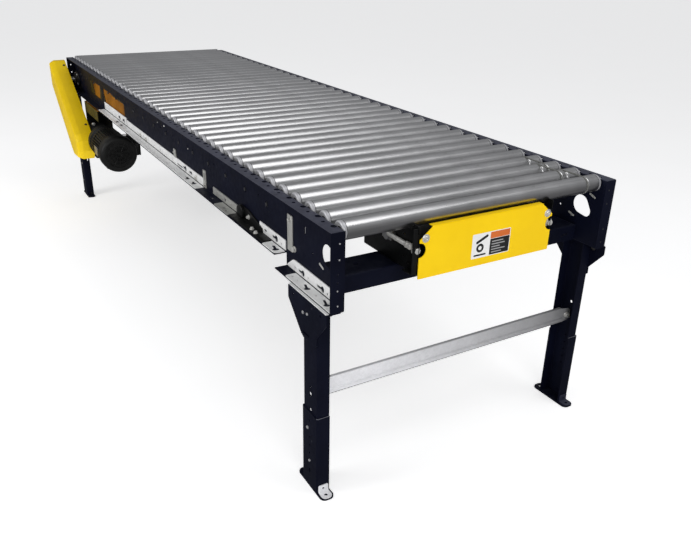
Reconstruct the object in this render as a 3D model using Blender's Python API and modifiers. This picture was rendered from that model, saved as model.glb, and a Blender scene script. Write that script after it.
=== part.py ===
"""Belt driven live roller conveyor, 10 ft bed between 33 in frames.

Bed frame used below: X across the bed from the outer edge of the left
channel, Y along the bed from the tail (near) end, Z up from the top of the
side channels.  An empty carries that frame, so that the finished assembly
stands on Z = 0 with its bounding box centred on X = 0, Y = 0.
"""
import bpy
import bmesh
from math import pi, sin, cos, atan2, hypot, radians
from mathutils import Matrix, Vector

for ob in list(bpy.data.objects):
    bpy.data.objects.remove(ob, do_unlink=True)

MM = 0.001
INCH = 0.0254
GAP = 0.3 * MM                      # running gap between touching pieces

# ------------------------------------------------------------ dimensions
BED_LENGTH = 120 * INCH             # 10 ft bed
BED_WIDTH = 36 * INCH               # over the channel flanges
FLANGE = 1.5 * INCH                 # channel flange, facing outward
STEEL = 2.7 * MM                    # 12 gauge
DEPTH_TAIL = 8 * INCH               # channel depth in the tail section
DEPTH_BED = 6.5 * INCH              # channel depth in the rest of the bed
TAIL_SECTION = 12 * INCH            # length of the tail section
TOP_HEIGHT = 770 * MM               # channel top above the floor

ROLLER_COUNT = 40
ROLLER_PITCH = 3 * INCH
ROLLER_R = 0.95 * INCH
ROLLER_WALL = 1.65 * MM
ROLLER_Z = -13 * MM                 # roller axis below the channel top
ROLLER_END_GAP = 3 * MM             # tube end to channel web
BEARING_LEN = 12 * MM
BEARING_BORE = 7.1 * MM
HEX_FLATS = 7 / 16 * INCH
HEX_REACH = 18 * MM                 # axle stub beyond the web

LEG_DEPTH = 77 * MM                 # leg channel along the bed
LEG_FLANGE = 35 * MM
LEG_INSET = 50 * MM                 # leg from the bed end
LEG_OUT = 6 * MM                    # leg web outboard of the bed flange
LEG_BOTTOM = -660 * MM              # lower end of the upper leg
FOOT_LEG_TOP = -515 * MM            # upper end of the lower leg
FOOT_LENGTH = 147 * MM
FOOT_WIDTH = 40 * MM
FOOT_THICK = 5 * MM
PIVOT_OUT = 9.5 * MM
BRACE_TOP = -436 * MM
BRACE_HEIGHT = 52 * MM
BRACE_Y = 86 * MM                   # brace face from the bed end

BELT_WIDTH = 15 * INCH
BELT_THICK = 3 * MM
BELT_TOP = -37.6 * MM
PULLEY_FACE = 16 * INCH
TAIL_R = 1.75 * INCH
TAIL_Y = 130 * MM
DRIVE_R = 2.5 * INCH
DRIVE_Y = 2965 * MM
TAIL_Z = BELT_TOP - BELT_THICK - GAP - TAIL_R
DRIVE_Z = BELT_TOP - BELT_THICK - GAP - DRIVE_R

TAKEUP_HALF = 217 * MM              # side plates from the bed centre line
TAKEUP_BOTTOM = -155.3 * MM
TAKEUP_REAR = 245 * MM
TAIL_AXLE_R = 12.5 * MM

GUARD_HALF = 216 * MM
GUARD_TOP = -27 * MM
GUARD_BOTTOM = -162 * MM

CHAIN_PITCH = 12.7 * MM
DRIVEN_TEETH = 16
DRIVER_TEETH = 20
OUTPUT_Y = 2590 * MM
OUTPUT_Z = -394 * MM
INPUT_FACE = 2472 * MM              # motor face of the reducer
MOTOR_X = 40 * MM
MOTOR_Z = -350 * MM
MOTOR_R = 88 * MM
SPROCKET_X = -44 * MM
GUARD_INNER = -12 * MM
GUARD_OUTER = -95 * MM
GUARD_SHEET = 1.6 * MM

MID_X = BED_WIDTH / 2
X_LOW = GUARD_OUTER
X_HIGH = BED_WIDTH + PIVOT_OUT
Y_LOW = -5.3 * MM
Y_HIGH = BED_LENGTH + 8 * MM

# ------------------------------------------------------------ scene set-up
parts = bpy.data.collections.new("roller_conveyor")
cutters = bpy.data.collections.new("cutters")
bpy.context.scene.collection.children.link(parts)
bpy.context.scene.collection.children.link(cutters)

bed = bpy.data.objects.new("bed_frame", None)
bed.location = (-(X_LOW + X_HIGH) / 2, -(Y_LOW + Y_HIGH) / 2, TOP_HEIGHT)
parts.objects.link(bed)

_materials = {}


def material(name, colour, roughness, metallic):
    if name not in _materials:
        m = bpy.data.materials.new(name)
        m.use_nodes = True
        b = m.node_tree.nodes["Principled BSDF"]
        b.inputs["Base Color"].default_value = (*colour, 1)
        b.inputs["Roughness"].default_value = roughness
        b.inputs["Metallic"].default_value = metallic
        _materials[name] = m
    return _materials[name]


NAVY = ("navy_paint", (0.016, 0.018, 0.035), 0.42, 0.0)
YELLOW = ("yellow_paint", (0.86, 0.63, 0.02), 0.4, 0.0)
AMBER = ("amber_paint", (0.62, 0.36, 0.05), 0.45, 0.0)
BLACK = ("black_paint", (0.012, 0.012, 0.014), 0.4, 0.0)
ZINC = ("galvanised", (0.62, 0.63, 0.64), 0.32, 1.0)
STEELY = ("bright_steel", (0.55, 0.55, 0.56), 0.3, 1.0)
RUBBER = ("belt_rubber", (0.02, 0.02, 0.02), 0.8, 0.0)
MOTOR_GREY = ("motor_black", (0.03, 0.03, 0.034), 0.5, 0.0)


# ------------------------------------------------------------ shape helpers
def add(name, mesh, where=(0, 0, 0), finish=None, cutter=False, rot=None):
    ob = bpy.data.objects.new(name, mesh)
    (cutters if cutter else parts).objects.link(ob)
    ob.parent = bed
    ob.location = where
    if rot:
        ob.rotation_euler = rot
    if cutter:
        ob.hide_render = True
        ob.display_type = "WIRE"
    elif finish:
        mesh.materials.clear()
        mesh.materials.append(material(*finish))
    return ob


def box(name, lo, hi, finish=None, cutter=False):
    """A cuboid between two corners."""
    bm = bmesh.new()
    bmesh.ops.create_cube(bm, size=1.0)
    size = [h - l for l, h in zip(lo, hi)]
    bmesh.ops.scale(bm, vec=size, verts=bm.verts)
    me = bpy.data.meshes.new(name)
    bm.to_mesh(me)
    bm.free()
    mid = [(l + h) / 2 for l, h in zip(lo, hi)]
    return add(name, me, mid, finish, cutter)


def rod(name, axis, centre, radius, lo, hi, segments=24, finish=None,
        cutter=False, turn=0.0):
    """A cylinder or prism along X, Y or Z from lo to hi on that axis."""
    bm = bmesh.new()
    bmesh.ops.create_cone(bm, cap_ends=True, segments=segments,
                          radius1=radius, radius2=radius, depth=hi - lo)
    if turn:
        bmesh.ops.rotate(bm, verts=bm.verts, cent=(0, 0, 0),
                         matrix=Matrix.Rotation(turn, 3, "Z"))
    spin = {"X": Matrix.Rotation(pi / 2, 3, "Y"),
            "Y": Matrix.Rotation(-pi / 2, 3, "X"),
            "Z": Matrix.Identity(3)}[axis]
    bmesh.ops.rotate(bm, verts=bm.verts, cent=(0, 0, 0), matrix=spin)
    me = bpy.data.meshes.new(name)
    bm.to_mesh(me)
    bm.free()
    me.shade_smooth()
    me.set_sharp_from_angle(angle=radians(35))
    where = list(centre)
    where["XYZ".index(axis)] = (lo + hi) / 2
    return add(name, me, where, finish, cutter)


def plate(name, loops, plane, lo, hi, finish=None, cutter=False):
    """A flat outline (with optional holes) filled and given thickness.

    plane "YZ": loops are (y, z), thickness runs along X from lo to hi.
    plane "XZ": loops are (x, z), thickness along Y.
    plane "XY": loops are (x, y), thickness along Z.
    """
    cu = bpy.data.curves.new(name, "CURVE")
    cu.dimensions = "2D"
    cu.fill_mode = "BOTH"
    cu.extrude = (hi - lo) / 2
    for loop in loops:
        sp = cu.splines.new("POLY")
        sp.points.add(len(loop) - 1)
        for p, (u, v) in zip(sp.points, loop):
            p.co = (u, v, 0, 1)
        sp.use_cyclic_u = True
    tmp = bpy.data.objects.new(name, cu)
    cutters.objects.link(tmp)
    dg = bpy.context.evaluated_depsgraph_get()
    me = bpy.data.meshes.new_from_object(tmp.evaluated_get(dg))
    me.name = name
    bpy.data.objects.remove(tmp, do_unlink=True)
    bm = bmesh.new()
    bm.from_mesh(me)
    bmesh.ops.remove_doubles(bm, verts=bm.verts, dist=1e-6)
    mid = (lo + hi) / 2
    if plane == "YZ":
        m = Matrix(((0, 0, 1), (1, 0, 0), (0, 1, 0)))
        where = (mid, 0, 0)
    elif plane == "XZ":
        m = Matrix(((1, 0, 0), (0, 0, -1), (0, 1, 0)))
        where = (0, mid, 0)
    else:
        m = Matrix.Identity(3)
        where = (0, 0, mid)
    bmesh.ops.transform(bm, matrix=m.to_4x4(), verts=bm.verts)
    bmesh.ops.recalc_face_normals(bm, faces=bm.faces)
    bm.to_mesh(me)
    bm.free()
    me.shade_smooth()
    me.set_sharp_from_angle(angle=radians(25))
    return add(name, me, where, finish, cutter)


def turned_mesh(name, profile, steps):
    """Revolve (radius, height) points about local Z with a Screw."""
    me = bpy.data.meshes.new(name + "_profile")
    verts = [(r, 0, h) for r, h in profile]
    n = len(verts)
    on_axis = profile[0][0] == 0 and profile[-1][0] == 0
    edges = [(i, i + 1) for i in range(n - 1)]
    if not on_axis:
        edges.append((n - 1, 0))
    me.from_pydata(verts, edges, [])
    tmp = bpy.data.objects.new(name, me)
    cutters.objects.link(tmp)
    sc = tmp.modifiers.new("turn", "SCREW")
    sc.axis = "Z"
    sc.steps = sc.render_steps = steps
    sc.use_merge_vertices = True
    sc.merge_threshold = 0.00001
    dg = bpy.context.evaluated_depsgraph_get()
    out = bpy.data.meshes.new_from_object(tmp.evaluated_get(dg))
    out.name = name
    bpy.data.objects.remove(tmp, do_unlink=True)
    bpy.data.meshes.remove(me)
    bm = bmesh.new()
    bm.from_mesh(out)
    bmesh.ops.remove_doubles(bm, verts=bm.verts, dist=1e-6)
    bmesh.ops.dissolve_degenerate(bm, edges=bm.edges, dist=1e-7)
    bmesh.ops.recalc_face_normals(bm, faces=bm.faces)
    bm.to_mesh(out)
    bm.free()
    out.shade_smooth()
    out.set_sharp_from_angle(angle=radians(35))
    return out


ALONG_X = (0, pi / 2, 0)            # local Z to X
ALONG_Y = (-pi / 2, 0, 0)           # local Z to Y


def join(ob, tools, op="UNION"):
    for i, t in enumerate(tools):
        m = ob.modifiers.new("%s_%d" % (op.lower(), i), "BOOLEAN")
        m.operation = op
        m.solver = "EXACT"
        m.object = t


def c_loop(x0, x1, y0, y1, t):
    """C section: web on the x0 side, flanges running towards x1."""
    s = t if x1 > x0 else -t
    return [(x0, y0), (x1, y0), (x1, y0 + t), (x0 + s, y0 + t),
            (x0 + s, y1 - t), (x1, y1 - t), (x1, y1), (x0, y1)]


def slot_loop(y0, y1, z0, z1, r, n=4):
    """Rounded rectangle."""
    pts = []
    for cy, cz, a in ((y1 - r, z1 - r, 0), (y0 + r, z1 - r, 90),
                      (y0 + r, z0 + r, 180), (y1 - r, z0 + r, 270)):
        for i in range(n + 1):
            t = radians(a + 90 * i / n)
            pts.append((cy + r * cos(t), cz + r * sin(t)))
    return pts


# ------------------------------------------------------------ side channels
def side_channel(name, side, drive_side):
    """One side of the bed: web inboard, flanges outward, fixed hex axles."""
    def x(v):
        return v if side < 0 else BED_WIDTH - v

    def span(a, b):
        return min(x(a), x(b)), max(x(a), x(b))

    web = [(0, 0), (BED_LENGTH, 0), (BED_LENGTH, -DEPTH_BED),
           (TAIL_SECTION, -DEPTH_BED), (TAIL_SECTION, -DEPTH_TAIL),
           (0, -DEPTH_TAIL)]
    ob = plate(name, [web], "YZ", *span(0, FLANGE), finish=NAVY)
    # the hollow between the flanges and the two end strips
    t = STEEL
    hollow = [(t, -t), (BED_LENGTH - t, -t), (BED_LENGTH - t, -DEPTH_BED + t),
              (TAIL_SECTION - t, -DEPTH_BED + t),
              (TAIL_SECTION - t, -DEPTH_TAIL + t), (t, -DEPTH_TAIL + t)]
    out, inner = -MM, FLANGE - STEEL
    a, b = span(out, inner)
    join(ob, [plate(name + "_hollow", [hollow], "YZ", a, b, cutter=True),
              box(name + "_step", (a, TAIL_SECTION - 2 * t, -DEPTH_TAIL + t),
                  (b, TAIL_SECTION + MM, -DEPTH_BED), cutter=True)],
         "DIFFERENCE")
    tools = []
    # forty fixed hexagonal axle ends standing out of the web
    bm = bmesh.new()
    lo, hi = span(FLANGE - STEEL / 2, FLANGE + HEX_REACH)
    for i in range(ROLLER_COUNT):
        y = ROLLER_PITCH * (i + 0.5)
        ret = bmesh.ops.create_cone(
            bm, cap_ends=True, segments=6,
            radius1=HEX_FLATS / 2 / cos(pi / 6),
            radius2=HEX_FLATS / 2 / cos(pi / 6), depth=hi - lo)
        bmesh.ops.rotate(bm, verts=ret["verts"], cent=(0, 0, 0),
                         matrix=Matrix.Rotation(pi / 2, 3, "Y"))
        bmesh.ops.translate(bm, verts=ret["verts"], vec=(0, y, 0))
    me = bpy.data.meshes.new(name + "_axles")
    bm.to_mesh(me)
    bm.free()
    tools.append(add(name + "_axles", me, ((lo + hi) / 2, 0, ROLLER_Z),
                     cutter=True))
    join(ob, tools)
    # access hole by the tail end, and on the drive side the shaft hole and
    # the two long windows in front of the drive
    a, b = span(FLANGE - 4 * STEEL, FLANGE + 4 * STEEL)
    holes = [rod(name + "_hole", "X", (0, 74 * MM, -92 * MM), 27 * MM, a, b,
                 cutter=True)]
    if drive_side:
        holes.append(rod(name + "_shaft_hole", "X", (0, DRIVE_Y, DRIVE_Z),
                         22 * MM, a, b, cutter=True))
        for i, (y0, y1) in enumerate(((1960, 2360), (2400, 2640))):
            holes.append(plate(name + "_window_%d" % i,
                               [slot_loop(y0 * MM, y1 * MM, -128 * MM,
                                          -62 * MM, 14 * MM)],
                               "YZ", a, b, cutter=True))
    join(ob, holes, "DIFFERENCE")
    return ob


side_channel("left_side_channel", -1, True)
side_channel("right_side_channel", 1, False)

# ------------------------------------------------------------ rollers
TUBE_LEN = BED_WIDTH - 2 * FLANGE - 2 * ROLLER_END_GAP
h = TUBE_LEN / 2
roller_mesh = turned_mesh("roller_tube", [
    (ROLLER_R, h), (ROLLER_R, -h), (BEARING_BORE, -h),
    (BEARING_BORE, -h + BEARING_LEN),
    (ROLLER_R - ROLLER_WALL, -h + BEARING_LEN),
    (ROLLER_R - ROLLER_WALL, h - BEARING_LEN),
    (BEARING_BORE, h - BEARING_LEN), (BEARING_BORE, h)], 12)
roller_mesh.materials.append(material(*ZINC))
for i in range(ROLLER_COUNT):
    ob = add("roller_%02d" % (i + 1), roller_mesh,
             (MID_X, ROLLER_PITCH * (i + 0.5), ROLLER_Z), rot=ALONG_X)


# ------------------------------------------------------------ supports
def support(prefix, far):
    """An H support: two upper legs with pivot brackets and a cross brace,
    and two telescoping lower legs with foot plates."""
    top = -(DEPTH_BED if far else DEPTH_TAIL) - GAP

    def y(v):
        return BED_LENGTH - v if far else v

    def yspan(a, b):
        return min(y(a), y(b)), max(y(a), y(b))

    y0, y1 = yspan(LEG_INSET, LEG_INSET + LEG_DEPTH)
    frame = None
    tools = []
    for side in (-1, 1):
        def x(v):
            return v if side < 0 else BED_WIDTH - v
        tag = "%s_%s" % (prefix, "left" if side < 0 else "right")
        leg = plate(tag + "_upper", [c_loop(x(-LEG_OUT),
                                            x(LEG_FLANGE - LEG_OUT),
                                            y0, y1, STEEL)],
                    "XY", LEG_BOTTOM, top, finish=NAVY,
                    cutter=(side > 0))
        if side < 0:
            frame = leg
            frame.name = prefix + "_leg_frame"
            frame.data.name = frame.name
        else:
            tools.append(leg)
        # bracket: a flange under the channel and a tapered pivot plate
        fa, fb = sorted((x(-PIVOT_OUT), x(30 * MM)))
        ya, yb = yspan(2 * MM, 204 * MM)
        tools.append(box(tag + "_bracket", (fa, ya, top - 3 * MM),
                         (fb, yb, top), cutter=True))
        pa, pb = sorted((x(-PIVOT_OUT), x(-LEG_OUT + STEEL / 2)))
        low = top - 114 * MM
        outline = [(2, 0), (204, 0), (204, -36.5), (127, -114),
                   (50, -114), (50, -85), (2, -29)]
        loop = [(y(u * MM), top + v * MM) for u, v in outline]
        tools.append(plate(tag + "_pivot", [loop], "YZ", pa, pb,
                           cutter=True))
        # telescoping lower leg with its foot plate
        la, lb = yspan(LEG_INSET - GAP - STEEL,
                       LEG_INSET + LEG_DEPTH + GAP + STEEL)
        lower = plate(tag + "_lower_leg",
                      [c_loop(x(-LEG_OUT - GAP - STEEL),
                              x(LEG_FLANGE - LEG_OUT), la, lb, STEEL)],
                      "XY", -TOP_HEIGHT + FOOT_THICK / 2, FOOT_LEG_TOP,
                      finish=NAVY)
        mid = (y0 + y1) / 2
        fx0 = x(-LEG_OUT - GAP - STEEL)
        fx1 = x(-LEG_OUT - GAP - STEEL + FOOT_WIDTH)
        foot = plate(tag + "_foot",
                     [slot_loop(min(fx0, fx1), max(fx0, fx1),
                                mid - FOOT_LENGTH / 2, mid + FOOT_LENGTH / 2,
                                14 * MM)],
                     "XY", -TOP_HEIGHT, -TOP_HEIGHT + FOOT_THICK,
                     cutter=True)
        join(lower, [foot])
    # formed cross brace between the two upper legs
    ba, bb = yspan(BRACE_Y, BRACE_Y + 22 * MM)
    t = 2.5 * MM
    z1, z0 = BRACE_TOP, BRACE_TOP - BRACE_HEIGHT
    face = BRACE_Y if not far else BED_LENGTH - BRACE_Y
    back = ba + bb - face
    s = 1 if back > face else -1
    section = [(face, z1), (back, z1), (back, z1 - t), (face + s * t, z1 - t),
               (face + s * t, z0 + t), (back, z0 + t), (back, z0),
               (face, z0)]
    tools.append(plate(prefix + "_brace", [section], "YZ",
                       -LEG_OUT + STEEL / 2,
                       BED_WIDTH + LEG_OUT - STEEL / 2, cutter=True))
    join(frame, tools)


support("near", False)
support("far", True)

# ------------------------------------------------------------ tail section
y0, y1 = 85 * MM, 187 * MM
z0, z1 = -DEPTH_TAIL, TAKEUP_BOTTOM - GAP
t = 3 * MM
plate("tail_cross_member",
      [[(y0, z1), (y1, z1), (y1, z0), (y1 - t, z0), (y1 - t, z1 - t),
        (y0 + t, z1 - t), (y0 + t, z0), (y0, z0)]],
      "YZ", FLANGE + GAP, BED_WIDTH - FLANGE - GAP, finish=NAVY)

# take-up trough: two slotted side plates joined by a floor
t = 3 * MM
side_top = -48 * MM
slot = slot_loop(95 * MM, 200 * MM, TAIL_Z - 14 * MM, TAIL_Z + 14 * MM,
                 5 * MM, 2)
a = MID_X - TAKEUP_HALF
b = MID_X + TAKEUP_HALF
takeup = plate("takeup_frame",
               [[(a, side_top), (a, TAKEUP_BOTTOM), (b, TAKEUP_BOTTOM),
                 (b, side_top), (b - t, side_top),
                 (b - t, TAKEUP_BOTTOM + t), (a + t, TAKEUP_BOTTOM + t),
                 (a + t, side_top)]],
               "XZ", -3 * MM, TAKEUP_REAR, finish=BLACK)
join(takeup, [plate("takeup_slots", [slot], "YZ", a - 20 * MM, b + 20 * MM,
                    cutter=True)], "DIFFERENCE")

# sliding axle with a block in each slot
axle = rod("takeup_axle", "X", (0, TAIL_Y, TAIL_Z), TAIL_AXLE_R,
           a - 8 * MM, b + 8 * MM, 16, finish=STEELY)
blocks = []
for k, xc in enumerate((a + t / 2, b - t / 2)):
    blocks.append(box("takeup_block_%d" % k,
                      (xc - 7 * MM, TAIL_Y - 20 * MM,
                       TAIL_Z - 13.6 * MM),
                      (xc + 7 * MM, TAIL_Y + 20 * MM,
                       TAIL_Z + 13.6 * MM), cutter=True))
join(axle, blocks)

f = PULLEY_FACE / 2
bore = TAIL_AXLE_R + 1.2 * MM
wall = 5 * MM
disc = 8 * MM
add("tail_pulley", turned_mesh("tail_pulley", [
    (TAIL_R, f), (TAIL_R, -f), (bore, -f), (bore, -f + disc),
    (TAIL_R - wall, -f + disc), (TAIL_R - wall, f - disc),
    (bore, f - disc), (bore, f)], 24),
    (MID_X, TAIL_Y, TAIL_Z), STEELY, rot=ALONG_X)

# yellow guard over the front of the tail pulley
g0, g1 = MID_X - GUARD_HALF, MID_X + GUARD_HALF
sheet = 2 * MM


def notch(xc, zc, r, side, n=6):
    """Half round relief in a vertical edge, bulging inboard."""
    pts = []
    for i in range(n + 1):
        a_ = pi / 2 - pi * i / n
        pts.append((xc + side * r * cos(a_), zc + r * sin(a_)))
    return pts


nz, nr = -86 * MM, 17 * MM
left = notch(g0, nz, nr, 1)
right = notch(g1, nz, nr, -1)[::-1]
ch = 32 * MM
outline = ([(g0 + ch, GUARD_TOP), (g0, GUARD_TOP - ch)] + left +
           [(g0, GUARD_BOTTOM), (g1, GUARD_BOTTOM)] + right +
           [(g1, GUARD_TOP - ch), (g1 - ch, GUARD_TOP)])
guard = plate("tail_guard", [outline], "XZ", Y_LOW, Y_LOW + sheet,
              finish=YELLOW)
join(guard, [box("tail_guard_lip",
                 (g0 + ch + 4 * MM, Y_LOW, GUARD_TOP - sheet),
                 (g1 - ch - 4 * MM, 11 * MM, GUARD_TOP), cutter=True)])


# ------------------------------------------------------------ flat belt
def belt_loop(extra, n=18):
    """Path round both pulleys at a given distance outside them."""
    (ya, za, ra), (yb, zb, rb) = ((TAIL_Y, TAIL_Z, TAIL_R + extra),
                                  (DRIVE_Y, DRIVE_Z, DRIVE_R + extra))
    d = hypot(yb - ya, zb - za)
    base = atan2(zb - za, yb - ya)
    off = atan2(rb - ra, (d * d - (rb - ra) ** 2) ** 0.5)
    up = base + off + pi / 2
    down = base - off - pi / 2
    pts = []
    for i in range(n + 1):                     # round the drive pulley
        a_ = up + (down - up) * i / n
        pts.append((yb + rb * cos(a_), zb + rb * sin(a_)))
    for i in range(n + 1):                     # round the tail pulley
        a_ = down + (up - 2 * pi - down) * i / n
        pts.append((ya + ra * cos(a_), za + ra * sin(a_)))
    return pts


plate("drive_belt", [belt_loop(GAP + BELT_THICK), belt_loop(GAP)], "YZ",
      MID_X - BELT_WIDTH / 2, MID_X + BELT_WIDTH / 2, finish=RUBBER)


# ------------------------------------------------------------ drive
def pitch_radius(teeth):
    return CHAIN_PITCH / (2 * sin(pi / teeth))


shaft = 12.7 * MM
wall = 6 * MM
web = 6 * MM
ts = 3 * MM                                   # half sprocket thickness
end = BED_WIDTH - FLANGE - 8 * MM - MID_X     # far end of the shaft
sx = SPROCKET_X - MID_X
rs = pitch_radius(DRIVEN_TEETH)
add("drive_pulley", turned_mesh("drive_pulley", [
    (0, end), (shaft, end), (shaft, web), (DRIVE_R - wall, web),
    (DRIVE_R - wall, f), (DRIVE_R, f), (DRIVE_R, -f), (DRIVE_R - wall, -f),
    (DRIVE_R - wall, -web), (shaft, -web), (shaft, sx + ts),
    (rs, sx + ts), (rs, sx - ts), (shaft, sx - ts),
    (shaft, sx - 12 * MM), (0, sx - 12 * MM)], 24),
    (MID_X, DRIVE_Y, DRIVE_Z), STEELY, rot=ALONG_X)

out_r = 11 * MM
rs = pitch_radius(DRIVER_TEETH)
add("output_sprocket", turned_mesh("output_sprocket", [
    (0, 28 * MM - SPROCKET_X), (out_r, 28 * MM - SPROCKET_X), (out_r, ts),
    (rs, ts), (rs, -ts), (out_r, -ts), (out_r, -12 * MM), (0, -12 * MM)],
    24), (SPROCKET_X, OUTPUT_Y, OUTPUT_Z), STEELY, rot=ALONG_X)

# right angle reducer: housing, round input flange, bored output hub
reducer = box("gear_reducer", (-8 * MM, OUTPUT_Y - 74 * MM, -448 * MM),
              (88 * MM, OUTPUT_Y + 74 * MM, -298 * MM), finish=MOTOR_GREY)
bev = reducer.modifiers.new("edges", "BEVEL")
bev.width = 12 * MM
bev.segments = 2
bev.limit_method = "ANGLE"
join(reducer, [
    rod("reducer_input", "Y", (MOTOR_X, 0, MOTOR_Z), 80 * MM,
        INPUT_FACE, INPUT_FACE + 24 * MM, cutter=True),
    rod("reducer_neck", "Y", (MOTOR_X, 0, MOTOR_Z), 44 * MM,
        INPUT_FACE + 12 * MM, OUTPUT_Y - 60 * MM, cutter=True),
    rod("reducer_hub", "X", (0, OUTPUT_Y, OUTPUT_Z), 30 * MM,
        -11.4 * MM, 10 * MM, cutter=True)])
join(reducer, [rod("reducer_bore", "X", (0, OUTPUT_Y, OUTPUT_Z), 12.2 * MM,
                   -20 * MM, 31 * MM, cutter=True)], "DIFFERENCE")

# motor: fan cover, finned body and end bell turned about its shaft line
y_far = INPUT_FACE - GAP
y_near = 2175 * MM
length = y_far - y_near
motor = add("motor", turned_mesh("motor", [
    (0, length), (80 * MM, length), (80 * MM, length - 16 * MM),
    (62 * MM, length - 30 * MM), (MOTOR_R - 6 * MM, length - 56 * MM),
    (MOTOR_R - 6 * MM, 62 * MM), (MOTOR_R, 58 * MM), (MOTOR_R, 14 * MM),
    (MOTOR_R - 14 * MM, 0), (0, 0)], 24),
    (MOTOR_X, y_near, MOTOR_Z), MOTOR_GREY, rot=ALONG_Y)
join(motor, [box("terminal_box",
                 (MOTOR_X + MOTOR_R - 20 * MM, y_near + 120 * MM,
                  MOTOR_Z - 45 * MM),
                 (MOTOR_X + MOTOR_R + 45 * MM, y_near + 225 * MM,
                  MOTOR_Z + 45 * MM), cutter=True)])

# drive frame: a pan under the belt between the channels, a folded flange
# under the left channel and the hanger plate that carries the reducer
xi, xo = FLANGE + GAP, BED_WIDTH - FLANGE - GAP
t = 3 * MM
pan_top, pan_low = -60 * MM, -180 * MM
pan = plate("drive_frame",
            [[(xi, pan_top), (xi, pan_low), (xo, pan_low), (xo, pan_top),
              (xo - t, pan_top), (xo - t, pan_low + t),
              (xi + t, pan_low + t), (xi + t, pan_top)]],
            "XZ", 1960 * MM, 2690 * MM, finish=AMBER)
join(pan, [
    box("drive_flange", (2 * MM, 2400 * MM, pan_low),
        (xi + 2 * MM, 2690 * MM, pan_low + t), cutter=True),
    box("drive_lip", (2 * MM, 2400 * MM, -230 * MM),
        (2 * MM + t, 2690 * MM, pan_low + 2 * MM), cutter=True),
    box("drive_hanger", (88.3 * MM, 2500 * MM, -452 * MM),
        (93 * MM, 2690 * MM, pan_low + 2 * MM), cutter=True),
    box("drive_gusset", (2 * MM, 2686 * MM, -452 * MM),
        (91 * MM, 2690 * MM, pan_low + 2 * MM), cutter=True)])

# chain guard: a slanted pressed shell, open towards the bed
profile = [(3056, -12), (3030, -14), (2528, -310), (2500, -345),
           (2500, -398), (2530, -446), (2640, -452), (2690, -424),
           (3056, -150)]
loop = [(u * MM, v * MM) for u, v in profile]
centre = Vector((sum(p[0] for p in loop) / len(loop),
                 sum(p[1] for p in loop) / len(loop)))


def inset(points, d):
    """Move every side of a convex outline inwards by d."""
    n = len(points)
    area = sum(points[i][0] * points[(i + 1) % n][1] -
               points[(i + 1) % n][0] * points[i][1] for i in range(n))
    s = 1 if area > 0 else -1
    lines = []
    for i in range(n):
        p, q = Vector(points[i]), Vector(points[(i + 1) % n])
        e = (q - p).normalized()
        nrm = Vector((-e.y, e.x)) * s
        lines.append((p + nrm * d, e))
    out = []
    for i in range(n):
        (p, e), (q, g) = lines[i - 1], lines[i]
        den = e.x * g.y - e.y * g.x
        w = q - p
        k = (w.x * g.y - w.y * g.x) / den
        out.append(tuple(p + e * k))
    return out


chain_guard = plate("chain_guard", [loop], "YZ", GUARD_OUTER, GUARD_INNER,
                    finish=YELLOW)
cav = plate("chain_guard_inside", [inset(loop, GUARD_SHEET)], "YZ",
            GUARD_OUTER + GUARD_SHEET, GUARD_INNER + 10 * MM, cutter=True)
join(chain_guard, [cav], "DIFFERENCE")
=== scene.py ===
from math import pi, sin, cos, tan, atan2, hypot, radians, sqrt

import bmesh
import bpy
import numpy as np
from mathutils import Matrix, Vector
from mathutils.geometry import delaunay_2d_cdt

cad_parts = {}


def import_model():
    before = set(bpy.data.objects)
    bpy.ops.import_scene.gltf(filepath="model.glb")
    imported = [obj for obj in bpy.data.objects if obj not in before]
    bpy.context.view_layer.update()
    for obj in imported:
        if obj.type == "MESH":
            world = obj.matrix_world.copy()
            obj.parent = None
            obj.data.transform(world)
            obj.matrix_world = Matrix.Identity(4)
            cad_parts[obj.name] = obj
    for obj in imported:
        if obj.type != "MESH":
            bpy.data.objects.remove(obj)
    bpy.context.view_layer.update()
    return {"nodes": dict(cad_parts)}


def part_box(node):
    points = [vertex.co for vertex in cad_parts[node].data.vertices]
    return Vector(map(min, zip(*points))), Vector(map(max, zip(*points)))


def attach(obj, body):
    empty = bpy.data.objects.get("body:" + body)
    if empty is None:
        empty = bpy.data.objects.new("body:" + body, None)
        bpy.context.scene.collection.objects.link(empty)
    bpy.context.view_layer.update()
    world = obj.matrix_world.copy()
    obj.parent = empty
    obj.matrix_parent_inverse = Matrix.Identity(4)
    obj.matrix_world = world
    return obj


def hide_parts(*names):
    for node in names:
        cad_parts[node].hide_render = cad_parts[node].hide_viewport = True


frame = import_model()

# ---------------------------------------------------------------- bed frame
# All shapes below are in millimetres in the bed frame: X across from the outer
# edge of the left channel, Y along the bed from the tail end, Z up from the
# channel top.  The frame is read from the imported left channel.
_lo, _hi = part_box("left_side_channel")
ORIGIN = np.array([_lo.x, _lo.y, _hi.z])
_rlo, _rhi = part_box("right_side_channel")
W = round((_rhi.x - _lo.x) * 1000, 2)          # 914.4 over the flanges
L = round((_hi.y - _lo.y) * 1000, 2)           # 3048 bed length
FL = 38.1                                       # flange
T = 2.7                                         # channel sheet
D_TAIL, D_BED, TAIL = 203.2, 165.1, 304.8
PITCH = L / 40
ROLL_R, ROLL_Z = 24.13, -13.0


def world(pts):
    return np.asarray(pts, float) * 0.001 + ORIGIN


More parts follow.
